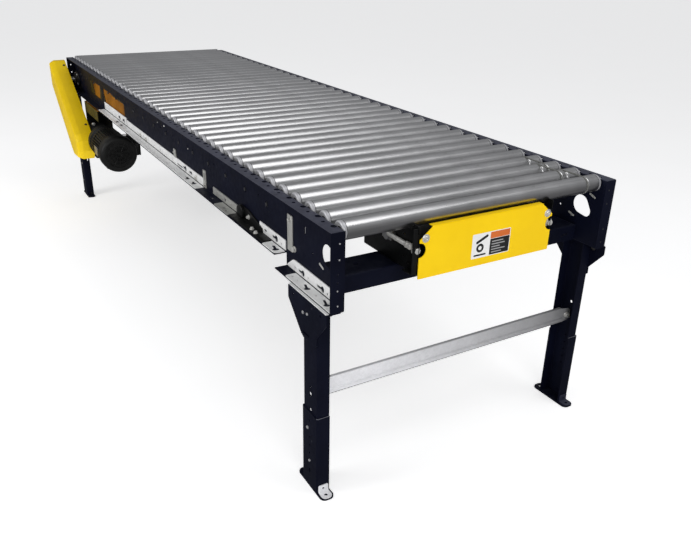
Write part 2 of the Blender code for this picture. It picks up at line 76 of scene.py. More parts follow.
# ---------------------------------------------------------------- materials
class Mat:
    """Small helper round a node tree."""

    def __init__(self, name):
        self.m = bpy.data.materials.new(name)
        self.m.use_nodes = True
        self.t = self.m.node_tree
        self.b = self.t.nodes["Principled BSDF"]
        self.co = self.node("ShaderNodeTexCoord").outputs["Object"]

    def node(self, kind, **kw):
        n = self.t.nodes.new(kind)
        for k, v in kw.items():
            setattr(n, k, v)
        return n

    def put(self, socket, value):
        if isinstance(value, bpy.types.NodeSocket):
            self.t.links.new(value, socket)
        else:
            socket.default_value = value

    def mapped(self, scale, rot=(0, 0, 0), co=None):
        n = self.node("ShaderNodeMapping")
        self.put(n.inputs["Vector"], co or self.co)
        n.inputs["Scale"].default_value = scale
        n.inputs["Rotation"].default_value = rot
        return n.outputs[0]

    def noise(self, scale, detail=4, rough=0.55, co=None, distort=0.0):
        n = self.node("ShaderNodeTexNoise")
        self.put(n.inputs["Vector"], co or self.co)
        n.inputs["Scale"].default_value = scale
        n.inputs["Detail"].default_value = detail
        n.inputs["Roughness"].default_value = rough
        n.inputs["Distortion"].default_value = distort
        return n.outputs["Fac"]

    def voronoi(self, scale, co=None, feature="F1", out="Distance"):
        n = self.node("ShaderNodeTexVoronoi", feature=feature)
        self.put(n.inputs["Vector"], co or self.co)
        n.inputs["Scale"].default_value = scale
        return n.outputs[out]

    def ramp(self, fac, stops):
        n = self.node("ShaderNodeValToRGB")
        self.put(n.inputs[0], fac)
        e = n.color_ramp.elements
        while len(e) < len(stops):
            e.new(0.5)
        for el, (p, c) in zip(e, stops):
            el.position = p
            el.color = (c, c, c, 1) if isinstance(c, (int, float)) else (*c, 1)
        return n.outputs[0]

    def rng(self, fac, a, b, c, d, clamp=True):
        n = self.node("ShaderNodeMapRange")
        n.clamp = clamp
        self.put(n.inputs["Value"], fac)
        for k, v in zip(("From Min", "From Max", "To Min", "To Max"), (a, b, c, d)):
            n.inputs[k].default_value = v
        return n.outputs[0]

    def math(self, op, a, b=0.0):
        n = self.node("ShaderNodeMath", operation=op)
        self.put(n.inputs[0], a)
        self.put(n.inputs[1], b)
        return n.outputs[0]

    def mix(self, fac, a, b, blend="MIX"):
        n = self.node("ShaderNodeMix", data_type="RGBA", blend_type=blend)
        self.put(n.inputs[0], fac)
        for s, v in ((n.inputs[6], a), (n.inputs[7], b)):
            self.put(s, (*v, 1) if isinstance(v, tuple) and len(v) == 3 else v)
        return n.outputs[2]

    def up(self):
        """How much the surface faces up."""
        g = self.node("ShaderNodeNewGeometry")
        s = self.node("ShaderNodeSeparateXYZ")
        self.put(s.inputs[0], g.outputs["Normal"])
        return s.outputs[2]

    def bump(self, *layers):
        """layers: (height, strength, distance in mm)"""
        last = None
        for h, strength, dist in layers:
            n = self.node("ShaderNodeBump")
            n.inputs["Strength"].default_value = strength
            n.inputs["Distance"].default_value = dist * 0.001
            self.put(n.inputs["Height"], h)
            if last:
                self.put(n.inputs["Normal"], last)
            last = n.outputs[0]
        self.put(self.b.inputs["Normal"], last)

    def set(self, **kw):
        names = {"color": "Base Color", "rough": "Roughness", "metal": "Metallic",
                 "coat": "Coat Weight", "coat_rough": "Coat Roughness",
                 "ior": "IOR", "aniso": "Anisotropic",
                 "spec": "Specular IOR Level"}
        for k, v in kw.items():
            if k == "color" and isinstance(v, tuple) and len(v) == 3:
                v = (*v, 1)
            self.put(self.b.inputs[names[k]], v)
        return self.m


def paint(name, dark, light, chip, rough=(0.34, 0.5), dust=0.06, peel=0.12,
          dust_colour=(0.35, 0.35, 0.36), coat=0.0, spec=0.3):
    """Powder coat: slow tone changes, orange peel, dust on top, small scuffs."""
    k = Mat(name)
    slow = k.noise(7.0, 3)
    fine = k.noise(900.0, 2)
    mid = k.noise(60.0, 4)
    base = k.mix(k.rng(slow, 0.35, 0.68, 0, 1), dark, light)
    streak = k.noise(1.0, 5, co=k.mapped((230, 26, 26)))
    streak2 = k.noise(1.0, 5, co=k.mapped((26, 26, 210), (0.25, 0.1, 0.4)))
    scuff = k.math("MULTIPLY", k.rng(streak, 0.70, 0.76, 0, 0.8),
                   k.rng(mid, 0.48, 0.62, 0, 1))
    scuff2 = k.math("MULTIPLY", k.rng(streak2, 0.71, 0.77, 0, 0.6),
                    k.rng(mid, 0.46, 0.6, 0, 1))
    scuff = k.math("MAXIMUM", scuff, scuff2)
    base = k.mix(scuff, base, chip)
    dusty = k.math("MULTIPLY", k.rng(k.up(), 0.3, 0.98, 0, 1),
                   k.rng(k.noise(38.0, 5), 0.38, 0.7, dust * 0.3, dust * 1.6))
    base = k.mix(dusty, base, dust_colour)
    k.bump((k.noise(330.0, 2), peel, 0.25), (fine, 0.06, 0.08),
           (scuff, -0.25, 0.12))
    r = k.rng(mid, 0.3, 0.7, rough[0], rough[1])
    r = k.math("ADD", r, k.math("MULTIPLY", dusty, 0.7))
    return k.set(color=base, rough=r, metal=0.0, coat=coat, coat_rough=0.12, spec=spec)


def roller_metal(name, tone=1.0):
    """Drawn tube, zinc plated: lengthwise drawing streaks and fine turning
    lines.  The tube lies along the object's X."""
    k = Mat(name)
    along = k.noise(1.0, 6, co=k.mapped((1.6, 150, 150)))
    ring = k.noise(1.0, 3, co=k.mapped((1500, 16, 16)))
    cloud = k.noise(14.0, 4)
    info = k.node("ShaderNodeObjectInfo").outputs["Random"]
    v = k.rng(along, 0.3, 0.72, 0.86, 1.04)
    v = k.math("MULTIPLY", v, k.rng(ring, 0.3, 0.7, 0.97, 1.02))
    v = k.math("MULTIPLY", v, k.rng(info, 0, 1, 0.93, 1.02))
    v = k.math("MULTIPLY", v, k.rng(cloud, 0.35, 0.7, 0.95, 1.02))
    c = k.mix(v, (0, 0, 0), (0.60 * tone, 0.60 * tone, 0.605 * tone))
    stain = k.math("MULTIPLY", k.rng(k.noise(48.0, 5), 0.60, 0.72, 0, 0.45),
                   k.rng(k.noise(5.0, 2), 0.45, 0.6, 0, 1))
    c = k.mix(stain, c, (0.34, 0.33, 0.31))
    r = k.rng(along, 0.3, 0.7, 0.25, 0.36)
    r = k.math("ADD", r, k.rng(cloud, 0.4, 0.7, 0.0, 0.06))
    k.bump((ring, 0.10, 0.03), (along, 0.06, 0.04))
    return k.set(color=c, rough=r, metal=1.0)


def zinc(name, tone=(0.86, 0.86, 0.85), rough=(0.34, 0.52), metal=0.75,
         spangle=0.35, grime_amount=0.4, across=None):
    """Galvanised sheet with faint spangle and handling marks."""
    k = Mat(name)
    cell = k.voronoi(170.0, co=None, out="Color")
    s = k.node("ShaderNodeSeparateColor")
    k.put(s.inputs[0], cell)
    cellv = s.outputs[0]
    cloud = k.noise(16.0, 4)
    v = k.rng(cellv, 0, 1, 1 - 0.18 * spangle, 1.0)
    v = k.math("MULTIPLY", v, k.rng(cloud, 0.3, 0.7, 0.90, 1.0))
    c = k.mix(v, (0, 0, 0), tone)
    grime = k.math("MULTIPLY", k.rng(k.noise(70.0, 5), 0.57, 0.72, 0, grime_amount),
                   k.rng(k.noise(9.0, 2), 0.45, 0.65, 0, 1))
    c = k.mix(grime, c, (0.42, 0.41, 0.38))
    if across:                                              # painted shade: the zinc darkens towards one end along X, where the light falls off
        s = k.node("ShaderNodeSeparateXYZ")
        k.put(s.inputs[0], k.co)
        c = k.mix(k.rng(s.outputs[0], *across), (0, 0, 0), c)
    r = k.rng(cellv, 0, 1, rough[0], rough[1])
    line = k.noise(1.0, 4, co=k.mapped((500, 9, 500)))
    k.bump((line, 0.08, 0.06), (cloud, 0.04, 0.3))
    return k.set(color=c, rough=r, metal=metal)


def turned(name, tone=(0.66, 0.66, 0.66), rough=0.28, freq=1800, metal=1.0):
    """Turned or plated steel with fine machining lines."""
    k = Mat(name)
    line = k.noise(1.0, 2, co=k.mapped((freq, 30, 30)))
    cloud = k.noise(60.0, 4)
    c = k.mix(k.rng(cloud, 0.35, 0.7, 0, 0.6), tone, tuple(0.7 * x for x in tone))
    k.bump((line, 0.12, 0.04), (cloud, 0.08, 0.1))
    return k.set(color=c, rough=k.rng(line, 0.3, 0.7, rough, rough + 0.14), metal=metal)


def cast(name, dark, light, rough=(0.45, 0.62), grain=260.0):
    """Sand cast and sprayed."""
    k = Mat(name)
    g = k.noise(grain, 3, 0.6)
    cloud = k.noise(22.0, 4)
    c = k.mix(k.rng(cloud, 0.35, 0.68, 0, 1), dark, light)
    worn = k.math("MULTIPLY", k.rng(k.noise(120.0, 4), 0.62, 0.7, 0, 0.5),
                  k.rng(k.up(), 0.0, 0.9, 0.2, 1))
    c = k.mix(worn, c, tuple(min(1, 3 * x + 0.02) for x in light))
    k.bump((g, 0.35, 0.35), (cloud, 0.1, 0.8))
    return k.set(color=c, rough=k.rng(g, 0.3, 0.7, *rough), metal=0.0, spec=0.28)


def rubber_belt(name):
    """Woven friction surface."""
    k = Mat(name)
    w1 = k.node("ShaderNodeTexWave", wave_type="BANDS", bands_direction="X")
    w1.inputs["Scale"].default_value = 260
    w1.inputs["Distortion"].default_value = 0.6
    w2 = k.node("ShaderNodeTexWave", wave_type="BANDS", bands_direction="Y")
    w2.inputs["Scale"].default_value = 260
    w2.inputs["Distortion"].default_value = 0.6
    k.put(w1.inputs["Vector"], k.co)
    k.put(w2.inputs["Vector"], k.co)
    weave = k.math("MULTIPLY", w1.outputs["Fac"], w2.outputs["Fac"])
    cloud = k.noise(12.0, 5)
    wear = k.noise(1.0, 5, co=k.mapped((40, 2.5, 40)))
    c = k.mix(k.rng(cloud, 0.35, 0.7, 0, 1), (0.012, 0.012, 0.012), (0.030, 0.030, 0.029))
    c = k.mix(k.rng(wear, 0.5, 0.75, 0, 0.35), c, (0.075, 0.073, 0.07))
    k.bump((weave, 0.5, 0.35), (cloud, 0.1, 0.5))
    return k.set(color=c, rough=k.rng(weave, 0, 1, 0.72, 0.9), metal=0.0)


def plastic(name, a, b, rough=(0.35, 0.5), grain=700.0, strength=0.12):
    k = Mat(name)
    n = k.noise(grain, 3)
    cloud = k.noise(18.0, 4)
    c = k.mix(k.rng(cloud, 0.35, 0.65, 0, 1), a, b)
    k.bump((n, strength, 0.12))
    return k.set(color=c, rough=k.rng(n, 0.3, 0.7, *rough), metal=0.0)


NAVY = paint("navy_paint", (0.0027, 0.0035, 0.0105), (0.0044, 0.0056, 0.0158),
             (0.055, 0.058, 0.075), rough=(0.40, 0.52), dust=0.04, peel=0.16,
             dust_colour=(0.16, 0.17, 0.22), spec=0.09)
# painted light: a lighter, bluer copy of the navy for faces that catch the light, with some dust
NAVY_LIT_TOP = paint("navy_paint_flange", (0.016, 0.018, 0.036), (0.030, 0.033, 0.058),
                 (0.20, 0.20, 0.23), rough=(0.32, 0.44), dust=0.10,
                 dust_colour=(0.22, 0.23, 0.30), spec=0.34)
YELLOW = paint("yellow_paint", (0.90, 0.585, 0.0012), (0.96, 0.64, 0.0018),
               (0.80, 0.52, 0.004), rough=(0.30, 0.40), dust=0.0, peel=0.12,
               dust_colour=(0.7, 0.5, 0.05), spec=0.13)
YELLOW_OLD = paint("yellow_paint_guard", (0.86, 0.58, 0.0030), (0.98, 0.68, 0.0050),
                   (0.30, 0.20, 0.02), rough=(0.34, 0.48), dust=0.03, peel=0.16,
                   dust_colour=(0.42, 0.32, 0.10), spec=0.2)
# painted shade: yellow paint as it looks in shade, amber
AMBER_PAINTED_SHADE = paint("amber_paint", (0.15, 0.055, 0.0018), (0.35, 0.128, 0.0036),
              (0.05, 0.03, 0.012), rough=(0.42, 0.58), dust=0.0, peel=0.2,
              dust_colour=(0.20, 0.14, 0.07), spec=0.10)
# painted shade: yellow paint as it looks in deeper shade, olive
OLIVE_PAINTED_SHADE = paint("olive_lip", (0.045, 0.038, 0.010), (0.085, 0.068, 0.018),
              (0.05, 0.04, 0.02), rough=(0.45, 0.6), dust=0.05, peel=0.2,
              dust_colour=(0.16, 0.14, 0.08), spec=0.12)
BLACK = paint("black_paint", (0.0030, 0.0032, 0.0034), (0.0070, 0.0072, 0.0074),
              (0.09, 0.09, 0.08), rough=(0.30, 0.46), dust=0.03,
              dust_colour=(0.12, 0.12, 0.10), spec=0.25)
ROLLER = roller_metal("galvanised_tube")
RETURN = roller_metal("idler_tube", 0.75)
ROLLER_END = zinc("crimped_end", (0.50, 0.50, 0.52), (0.42, 0.56), 0.55, 0.15)
ZINC = zinc("galvanised_sheet", (0.98, 0.98, 0.975), (0.36, 0.5), 0.10, 0.3)
# painted light: near-white zinc, darkening along X towards the right end of the brace as painted shade
BRACE_ZINC_PAINTED_LIGHT = zinc("galvanised_brace", (0.97, 0.97, 1.0), (0.30, 0.46), 0.14, 0.4, 0.16,
                  across=(-0.25, 0.44, 1.0, 0.27))
PLATE_ZINC = zinc("zinc_splice", (0.60, 0.60, 0.57), (0.4, 0.55), 0.6, 0.2)
BOLT = turned("bolt_zinc", (0.84, 0.83, 0.79), 0.26, 2500, 0.6)
STEEL = turned("bright_steel", (0.58, 0.58, 0.58), 0.24, 1800, 0.9)
AXLE = turned("hex_axle_steel", (0.52, 0.52, 0.53), 0.3)
CHAIN = turned("chain_steel", (0.16, 0.155, 0.15), 0.36, 900)
DULL = turned("dull_zinc", (0.42, 0.42, 0.43), 0.36, 1400, 0.25)
EDGE = turned("cut_edge", (0.26, 0.26, 0.30), 0.42, 900, 0.2)
AXLE_OLD = turned("axle_oiled", (0.055, 0.055, 0.060), 0.42, 1200, 0.5)
CUP = zinc("bearing_cup_zinc", (0.62, 0.62, 0.64), (0.36, 0.48), 0.35, 0.1)
BEARING = plastic("bearing_cup", (0.035, 0.036, 0.04), (0.06, 0.06, 0.065), (0.3, 0.45))
MOTOR = cast("motor_black", (0.0060, 0.0060, 0.0058), (0.0115, 0.0115, 0.0110),
             (0.38, 0.52), 420.0)
CASTING = cast("reducer_casting", (0.010, 0.010, 0.010), (0.020, 0.020, 0.020),
               (0.45, 0.62), 240.0)
BELT = rubber_belt("belt_fabric")
ORING = plastic("urethane_ring", (0.13, 0.13, 0.122), (0.17, 0.17, 0.16), (0.10, 0.16), 300, 0.05)
LABEL_WHITE = plastic("label_white", (0.80, 0.80, 0.79), (0.84, 0.84, 0.83), (0.3, 0.4), 900, 0.03)
LABEL_BLACK = plastic("label_black", (0.012, 0.012, 0.013), (0.02, 0.02, 0.02), (0.3, 0.4), 900, 0.03)
LABEL_ORANGE = plastic("label_orange", (0.62, 0.13, 0.015), (0.68, 0.15, 0.02), (0.3, 0.4), 900, 0.03)
LABEL_GREY = plastic("label_grey", (0.30, 0.30, 0.30), (0.36, 0.36, 0.36), (0.3, 0.4), 900, 0.03)
NAMEPLATE = zinc("nameplate", (0.55, 0.55, 0.55), (0.3, 0.4), 0.9, 0.1)
RUBBER = plastic("gland_rubber", (0.012, 0.012, 0.012), (0.02, 0.02, 0.02), (0.5, 0.7))


# ---------------------------------------------------------------- meshes
class Bag:
    """Collects closed shells, in bed millimetres, for one piece."""

    def __init__(self):
        self.v, self.f, self.m, self.n = [], [], [], 0

    def add(self, shell, mat=0):
        v, f = shell
        v = np.asarray(v, float)
        self.v.append(v)
        self.f += [tuple(int(i) + self.n for i in p) for p in f]
        self.m += [mat] * len(f)
        self.n += len(v)
        return self

    def piece(self, name, body, mats, replaces=(), angle=32,
              origin=None, smooth=True):
        pts = np.concatenate(self.v)
        if origin is not None:
            at = world(origin)
            pts = pts * 0.001 + ORIGIN - at
        else:
            at = np.zeros(3)
            pts = world(pts)
        me = bpy.data.meshes.new(name)
        me.from_pydata([tuple(p) for p in pts], [], self.f)
        for m in mats:
            me.materials.append(m)
        me.polygons.foreach_set("material_index", self.m)
        bm = bmesh.new()
        bm.from_mesh(me)
        bmesh.ops.recalc_face_normals(bm, faces=bm.faces)
        bm.to_mesh(me)
        bm.free()
        if smooth:
            me.shade_smooth()
            me.set_sharp_from_angle(angle=radians(angle))
        ob = bpy.data.objects.new(name, me)
        ob.location = at
        bpy.context.scene.collection.objects.link(ob)
        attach(ob, body)
        if replaces:
            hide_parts(*replaces)
        return ob


def box(lo, hi, bev=0.6, seg=2):
    """A cuboid with rounded edges."""
    bm = bmesh.new()
    bmesh.ops.create_cube(bm, size=1.0)
    s = [h - l for l, h in zip(lo, hi)]
    bmesh.ops.scale(bm, vec=s, verts=bm.verts)
    bmesh.ops.translate(bm, vec=[(l + h) / 2 for l, h in zip(lo, hi)], verts=bm.verts)
    if bev > 0:
        bmesh.ops.bevel(bm, geom=bm.edges[:] + bm.verts[:], offset=min(bev, min(s) * 0.45),
                        segments=seg, profile=0.5, affect="EDGES", clamp_overlap=True)
    out = ([tuple(v.co) for v in bm.verts], [[v.index for v in f.verts] for f in bm.faces])
    bm.verts.index_update()
    out = ([tuple(v.co) for v in bm.verts], [[v.index for v in f.verts] for f in bm.faces])
    bm.free()
    return out


def moved(shell, m):
    """Apply a 4x4 matrix."""
    v = np.asarray(shell[0], float)
    a = np.array(m)
    return v @ a[:3, :3].T + a[:3, 3], shell[1]


def axis_matrix(axis, at):
    """Local Z to the given direction."""
    q = Vector(axis).normalized().to_track_quat("Z", "Y").to_matrix().to_4x4()
    return Matrix.Translation(Vector(at)) @ q


def lathe(profile, n, axis, at, phase=0.0):
    """Turn (radius, height) points about an axis through at.  The ends must be
    on the axis, or the profile must close on itself."""
    v, f = [], []
    closed = profile[0][0] > 1e-6
    ring = []
    for r, h in profile:
        if r < 1e-6:
            ring.append([len(v)])
            v.append((0, 0, h))
        else:
            ring.append(list(range(len(v), len(v) + n)))
            v += [(r * cos(phase + 2 * pi * i / n), r * sin(phase + 2 * pi * i / n), h)
                  for i in range(n)]
    pairs = list(zip(ring[:-1], ring[1:]))
    if closed:
        pairs.append((ring[-1], ring[0]))
    for a, b in pairs:
        for i in range(n):
            j = (i + 1) % n
            if len(a) == 1 and len(b) == 1:
                continue
            if len(a) == 1:
                f.append((a[0], b[j], b[i]))
            elif len(b) == 1:
                f.append((a[i], a[j], b[0]))
            else:
                f.append((a[i], a[j], b[j], b[i]))
    return moved((v, f), axis_matrix(axis, at))


def rod(r, a, b, axis_xyz, n=20, c=0.5):
    """A chamfered round bar from a to b along one of the axes through the
    point given with None on that axis."""
    k = [i for i, x in enumerate(axis_xyz) if x is None][0]
    at = [0 if x is None else x for x in axis_xyz]
    at[k] = a
    d = [0, 0, 0]
    d[k] = 1
    h = b - a
    return lathe([(0, 0), (r - c, 0), (r, c), (r, h - c), (r - c, h), (0, h)], n, d, at)


def loop_area(p):
    p = np.asarray(p, float)
    q = np.roll(p, -1, 0)
    return 0.5 * float(np.sum(p[:, 0] * q[:, 1] - q[:, 0] * p[:, 1]))


def inset_loop(pts, d):
    """Offset a closed loop inwards by d (mitred)."""
    pts = [np.array(p, float) for p in pts]
    s = 1 if loop_area(pts) > 0 else -1
    n = len(pts)
    out = []
    for i in range(n):
        a, b, c = pts[i - 1], pts[i], pts[(i + 1) % n]
        e1 = (b - a) / max(1e-9, np.linalg.norm(b - a))
        e2 = (c - b) / max(1e-9, np.linalg.norm(c - b))
        n1 = np.array((-e1[1], e1[0])) * s
        n2 = np.array((-e2[1], e2[0])) * s
        m = n1 + n2
        m = m / max(1e-9, np.linalg.norm(m))
        out.append(b + m * d / max(0.35, float(m @ n1)))
    return out


def rounded(pts, radius, n=6):
    """Round the corners of a closed loop.  radius may be one per corner."""
    pts = [np.array(p, float) for p in pts]
    k = len(pts)
    rad = radius if isinstance(radius, (list, tuple)) else [radius] * k
    out = []
    for i in range(k):
        a, b, c = pts[i - 1], pts[i], pts[(i + 1) % k]
        r = rad[i]
        u, w = a - b, c - b
        lu, lw = np.linalg.norm(u), np.linalg.norm(w)
        u, w = u / lu, w / lw
        ang = np.arccos(np.clip(u @ w, -1, 1))
        if r <= 0 or ang > pi - 1e-3:
            out += [tuple(b)]
            continue
        t = min(r / tan(ang / 2), lu * 0.49, lw * 0.49)
        r = t * tan(ang / 2)
        m = (u + w) / np.linalg.norm(u + w)
        centre = b + m * (r / sin(ang / 2))
        p0, p1 = b + u * t, b + w * t
        a0 = atan2(*(p0 - centre)[::-1])
        a1 = atan2(*(p1 - centre)[::-1])
        da = (a1 - a0 + pi) % (2 * pi) - pi
        for j in range(n + 1):
            q = a0 + da * j / n
            out.append((centre[0] + r * cos(q), centre[1] + r * sin(q)))
    return out


def circle(cx, cy, r, n=20):
    return [(cx + r * cos(2 * pi * i / n), cy + r * sin(2 * pi * i / n)) for i in range(n)]


def stadium(cx, cy, length, width, ang=0.0, n=6):
    """A slot: straight sides, half round ends; length over all."""
    h, r = (length - width) / 2, width / 2
    out = []
    for s, a0 in ((1, -pi / 2), (-1, pi / 2)):
        for i in range(n + 1):
            a = a0 + pi * i / n
            x, y = s * h + r * cos(a), r * sin(a)
            out.append((cx + x * cos(ang) - y * sin(ang), cy + x * sin(ang) + y * cos(ang)))
    return out


def keyhole(cx, cy, r, r2, dist, ang=0.0, n=20):
    """A round hole with a smaller round extension towards ang."""
    g = np.arccos(np.clip(r2 / r, -1, 1))
    out = []
    a_in = np.arcsin(min(0.99, r2 / r))
    for i in range(n + 1):
        a = a_in + (2 * pi - 2 * a_in) * i / n
        out.append((r * cos(a), r * sin(a)))
    for i in range(9):
        a = -pi / 2 + pi * i / 8
        out.append((dist + r2 * cos(a), r2 * sin(a)))
    return [(cx + x * cos(ang) - y * sin(ang), cy + x * sin(ang) + y * cos(ang)) for x, y in out]


def even_odd(poly, pts):
    poly = np.asarray(poly, float)
    x, y = pts[:, 0], pts[:, 1]
    hit = np.zeros(len(pts), bool)
    q = np.roll(poly, -1, 0)
    for (x0, y0), (x1, y1) in zip(poly, q):
        if y0 == y1:
            continue
        c = ((y0 > y) != (y1 > y)) & (x < (x1 - x0) * (y - y0) / (y1 - y0) + x0)
        hit ^= c
    return hit


def triangulate(outline, holes, lines=()):
    """Triangles of a flat shape with holes.  lines are extra edges to keep."""
    pts, edges = [], []
    for loop in [outline] + list(holes):
        s = len(pts)
        pts += [Vector((float(p[0]), float(p[1]))) for p in loop]
        edges += [(s + i, s + (i + 1) % len(loop)) for i in range(len(loop))]
    for a, b in lines:
        s = len(pts)
        pts += [Vector(a), Vector(b)]
        edges.append((s, s + 1))
    v, _, f, _, _, _ = delaunay_2d_cdt(pts, edges, [], 0, 1e-4)
    v = np.array([(p[0], p[1]) for p in v])
    f = np.array([t for t in f], int)
    c = v[f].mean(1)
    keep = even_odd(outline, c)
    for h in holes:
        h = np.asarray(h, float)
        lo, hi = h.min(0), h.max(0)
        near = np.where(((c >= lo) & (c <= hi)).all(1) & keep)[0]
        if len(near):
            keep[near[even_odd(h, c[near])]] = False
    f = f[keep]
    # no degenerate triangles
    a = v[f]
    area = np.abs((a[:, 1, 0] - a[:, 0, 0]) * (a[:, 2, 1] - a[:, 0, 1]) -
                  (a[:, 2, 0] - a[:, 0, 0]) * (a[:, 1, 1] - a[:, 0, 1]))
    f = f[area > 1e-7]
    used = np.unique(f)
    back = -np.ones(len(v), int)
    back[used] = np.arange(len(used))
    return v[used], back[f]


class Fold:
    """A folded section: flats and bends along u, in a plane (a, b)."""

    def __init__(self, start, heading, steps, n=5):
        self.seg, self.u = [], 0.0
        p, h = np.array(start, float), radians(heading)
        self.flats, self.cuts = [], []
        for kind, *arg in steps:
            if kind == "L":
                self.flats.append(self.u)
                self.seg.append(("L", self.u, self.u + arg[0], p.copy(), h))
                p = p + np.array((cos(h), sin(h))) * arg[0]
                self.u += arg[0]
            else:
                ang, r = radians(arg[0]), arg[1]
                s = 1 if ang > 0 else -1
                c = p + np.array((-sin(h), cos(h))) * s * r
                arc = abs(ang) * r
                self.seg.append(("B", self.u, self.u + arc, c, h, s, r))
                self.cuts += [self.u + arc * i / n for i in range(n + 1)]
                h += ang
                p = c + np.array((sin(h), -cos(h))) * s * r
                self.u += arc
        self.end = p

    def at(self, u):
        for s in self.seg:
            if u <= s[2] + 1e-6 or s is self.seg[-1]:
                if s[0] == "L":
                    d = np.array((cos(s[4]), sin(s[4])))
                    return s[3] + d * (u - s[1]), np.array((-d[1], d[0]))
                h = s[4] + s[5] * (u - s[1]) / s[6]
                return (s[3] + np.array((sin(h), -cos(h))) * s[5] * s[6],
                        np.array((-sin(h), cos(h))))


def sheet(fold, outline, holes, t, place):
    """A folded sheet of thickness t.  outline and holes are on the flat, as
    (u, v); place maps (a, b, v) to bed millimetres."""
    lo = min(p[1] for p in outline) - 5
    hi = max(p[1] for p in outline) + 5
    lines = [((u, lo), (u, hi)) for u in fold.cuts]
    v, f = triangulate(outline, holes, lines)
    pos, nor = [], []
    memo = {}
    for u, w in v:
        k = round(float(u), 5)
        if k not in memo:
            memo[k] = fold.at(k)
        p, n = memo[k]
        pos.append((p[0], p[1], w))
        nor.append((n[0], n[1], 0))
    pos, nor = np.array(pos), np.array(nor)
    top = [place(*q) for q in pos + nor * t / 2]
    low = [place(*q) for q in pos - nor * t / 2]
    n = len(v)
    faces = [tuple(x) for x in f] + [(a + n, c + n, b + n) for a, b, c in f]
    seen = {}
    for a, b, c in f:
        for e in ((a, b), (b, c), (c, a)):
            k = (min(e), max(e))
            seen[k] = None if k in seen else e
    for e in seen.values():
        if e is not None:
            a, b = e
            faces.append((b, a, a + n, b + n))
    return top + low, faces


def flat_plate(outline, holes, plane, lo, hi):
    """A flat plate: plane names the two axes of the outline."""
    v, f = triangulate(outline, holes)
    n = len(v)

    def put(a, b, h):
        return {"YZ": (h, a, b), "XZ": (a, h, b), "XY": (a, b, h)}[plane]

    pts = [put(a, b, lo) for a, b in v] + [put(a, b, hi) for a, b in v]
    faces = [tuple(x) for x in f] + [(a + n, c + n, b + n) for a, b, c in f]
    seen = {}
    for a, b, c in f:
        for e in ((a, b), (b, c), (c, a)):
            k = (min(e), max(e))
            seen[k] = None if k in seen else e
    for e in seen.values():
        if e is not None:
            a, b = e
            faces.append((b, a, a + n, b + n))
    return pts, faces


def solid_loop(loop, plane, lo, hi, c=0.6, centre_ok=True):
    """A prism of a convex loop with chamfered rims."""
    rings = [(inset_loop(loop, c), lo), (loop, lo + c), (loop, hi - c),
             (inset_loop(loop, c), hi)]
    n = len(loop)

    def put(a, b, h):
        return {"YZ": (h, a, b), "XZ": (a, h, b), "XY": (a, b, h)}[plane]

    v, f = [], []
    for pts, h in rings:
        v += [put(p[0], p[1], h) for p in pts]
    for k in range(3):
        for i in range(n):
            j = (i + 1) % n
            f.append((k * n + i, k * n + j, (k + 1) * n + j, (k + 1) * n + i))
    f.append(tuple(range(n))[::-1])
    f.append(tuple(range(3 * n, 4 * n)))
    return v, f


def band(outer, inner, lo, hi):
    """A closed loop with thickness, in the YZ plane, from X lo to hi."""
    n = len(outer)
    v = ([(lo, *p) for p in outer] + [(hi, *p) for p in outer] +
         [(lo, *p) for p in inner] + [(hi, *p) for p in inner])
    f = []
    for i in range(n):
        j = (i + 1) % n
        f += [(i, j, n + j, n + i), (2 * n + j, 2 * n + i, 3 * n + i, 3 * n + j),
              (j, i, 2 * n + i, 2 * n + j), (n + i, n + j, 3 * n + j, 3 * n + i)]
    return v, f


def tube(path, r, n=10, closed=True):
    """A round section along a closed path, or an open one with flat ends."""
    path = [Vector(p) for p in path]
    k = len(path)
    v, f = [], []
    up = None
    for i in range(k):
        a = path[i - 1] if (closed or i > 0) else path[i]
        b = path[(i + 1) % k] if (closed or i < k - 1) else path[i]
        d = (b - a).normalized()
        if up is None:
            up = d.orthogonal().normalized()
        up = (up - d * up.dot(d)).normalized()
        s = d.cross(up)
        for j in range(n):
            t = 2 * pi * j / n
            v.append(tuple(path[i] + up * r * cos(t) + s * r * sin(t)))
    # a closed path comes back to its own start frame only if it is planar
    for i in range(k if closed else k - 1):
        a, b = i * n, ((i + 1) % k) * n
        for j in range(n):
            q = (j + 1) % n
            f.append((a + j, a + q, b + q, b + j))
    if not closed:
        f.append(tuple(range(n))[::-1])
        f.append(tuple(range((k - 1) * n, k * n)))
    return v, f


def hex_head(at, axis, af=17.0, h=7.0, turn=0.2, washer=0.0):
    """A hexagon bolt head standing on a surface at a point, with a chamfered
    top, and an optional washer."""
    r = af / 2 / cos(pi / 6)
    shells = []
    base = 0.0
    if washer:
        shells.append(lathe([(0, 0), (washer, 0), (washer, 1.6), (washer - 0.5, 2.1), (0, 2.1)],
                            24, axis, at))
        base = 2.1
    v, f = [], []
    n = 6
    for rr, z in ((r, base), (r, base + h * 0.82)):
        v += [(rr * cos(turn + pi / 3 * i), rr * sin(turn + pi / 3 * i), z) for i in range(n)]
    # chamfered top: a 12 sided ring between the corners
    top = []
    for i in range(n):
        a = turn + pi / 3 * i
        v.append((r * 0.90 * cos(a), r * 0.90 * sin(a), base + h))
        top.append(len(v) - 1)
    for i in range(n):
        j = (i + 1) % n
        f.append((i, j, n + j, n + i))
        f.append((n + i, n + j, top[j], top[i]))
    f.append(tuple(range(n))[::-1])
    f.append(tuple(top))
    shells.append(moved((v, f), axis_matrix(axis, at)))
    return shells


def nut_and_tip(at, axis, af=17.0, h=8.0, tip=6.0, r=5.0, washer=10.5):
    """A nut on a washer with the end of the bolt standing through it."""
    out = hex_head(at, axis, af, h, 0.5, washer)
    m = axis_matrix(axis, at)
    base = (2.1 if washer else 0) + h * 0.6
    prof = [(0, base)]
    z = base
    while z < h + 2.1 + tip:
        prof += [(r - 0.5, z), (r, z + 0.5)]
        z += 1.0
    prof += [(r - 1.0, z), (0, z)]
    out.append(lathe(prof, 16, axis, at))
    return out


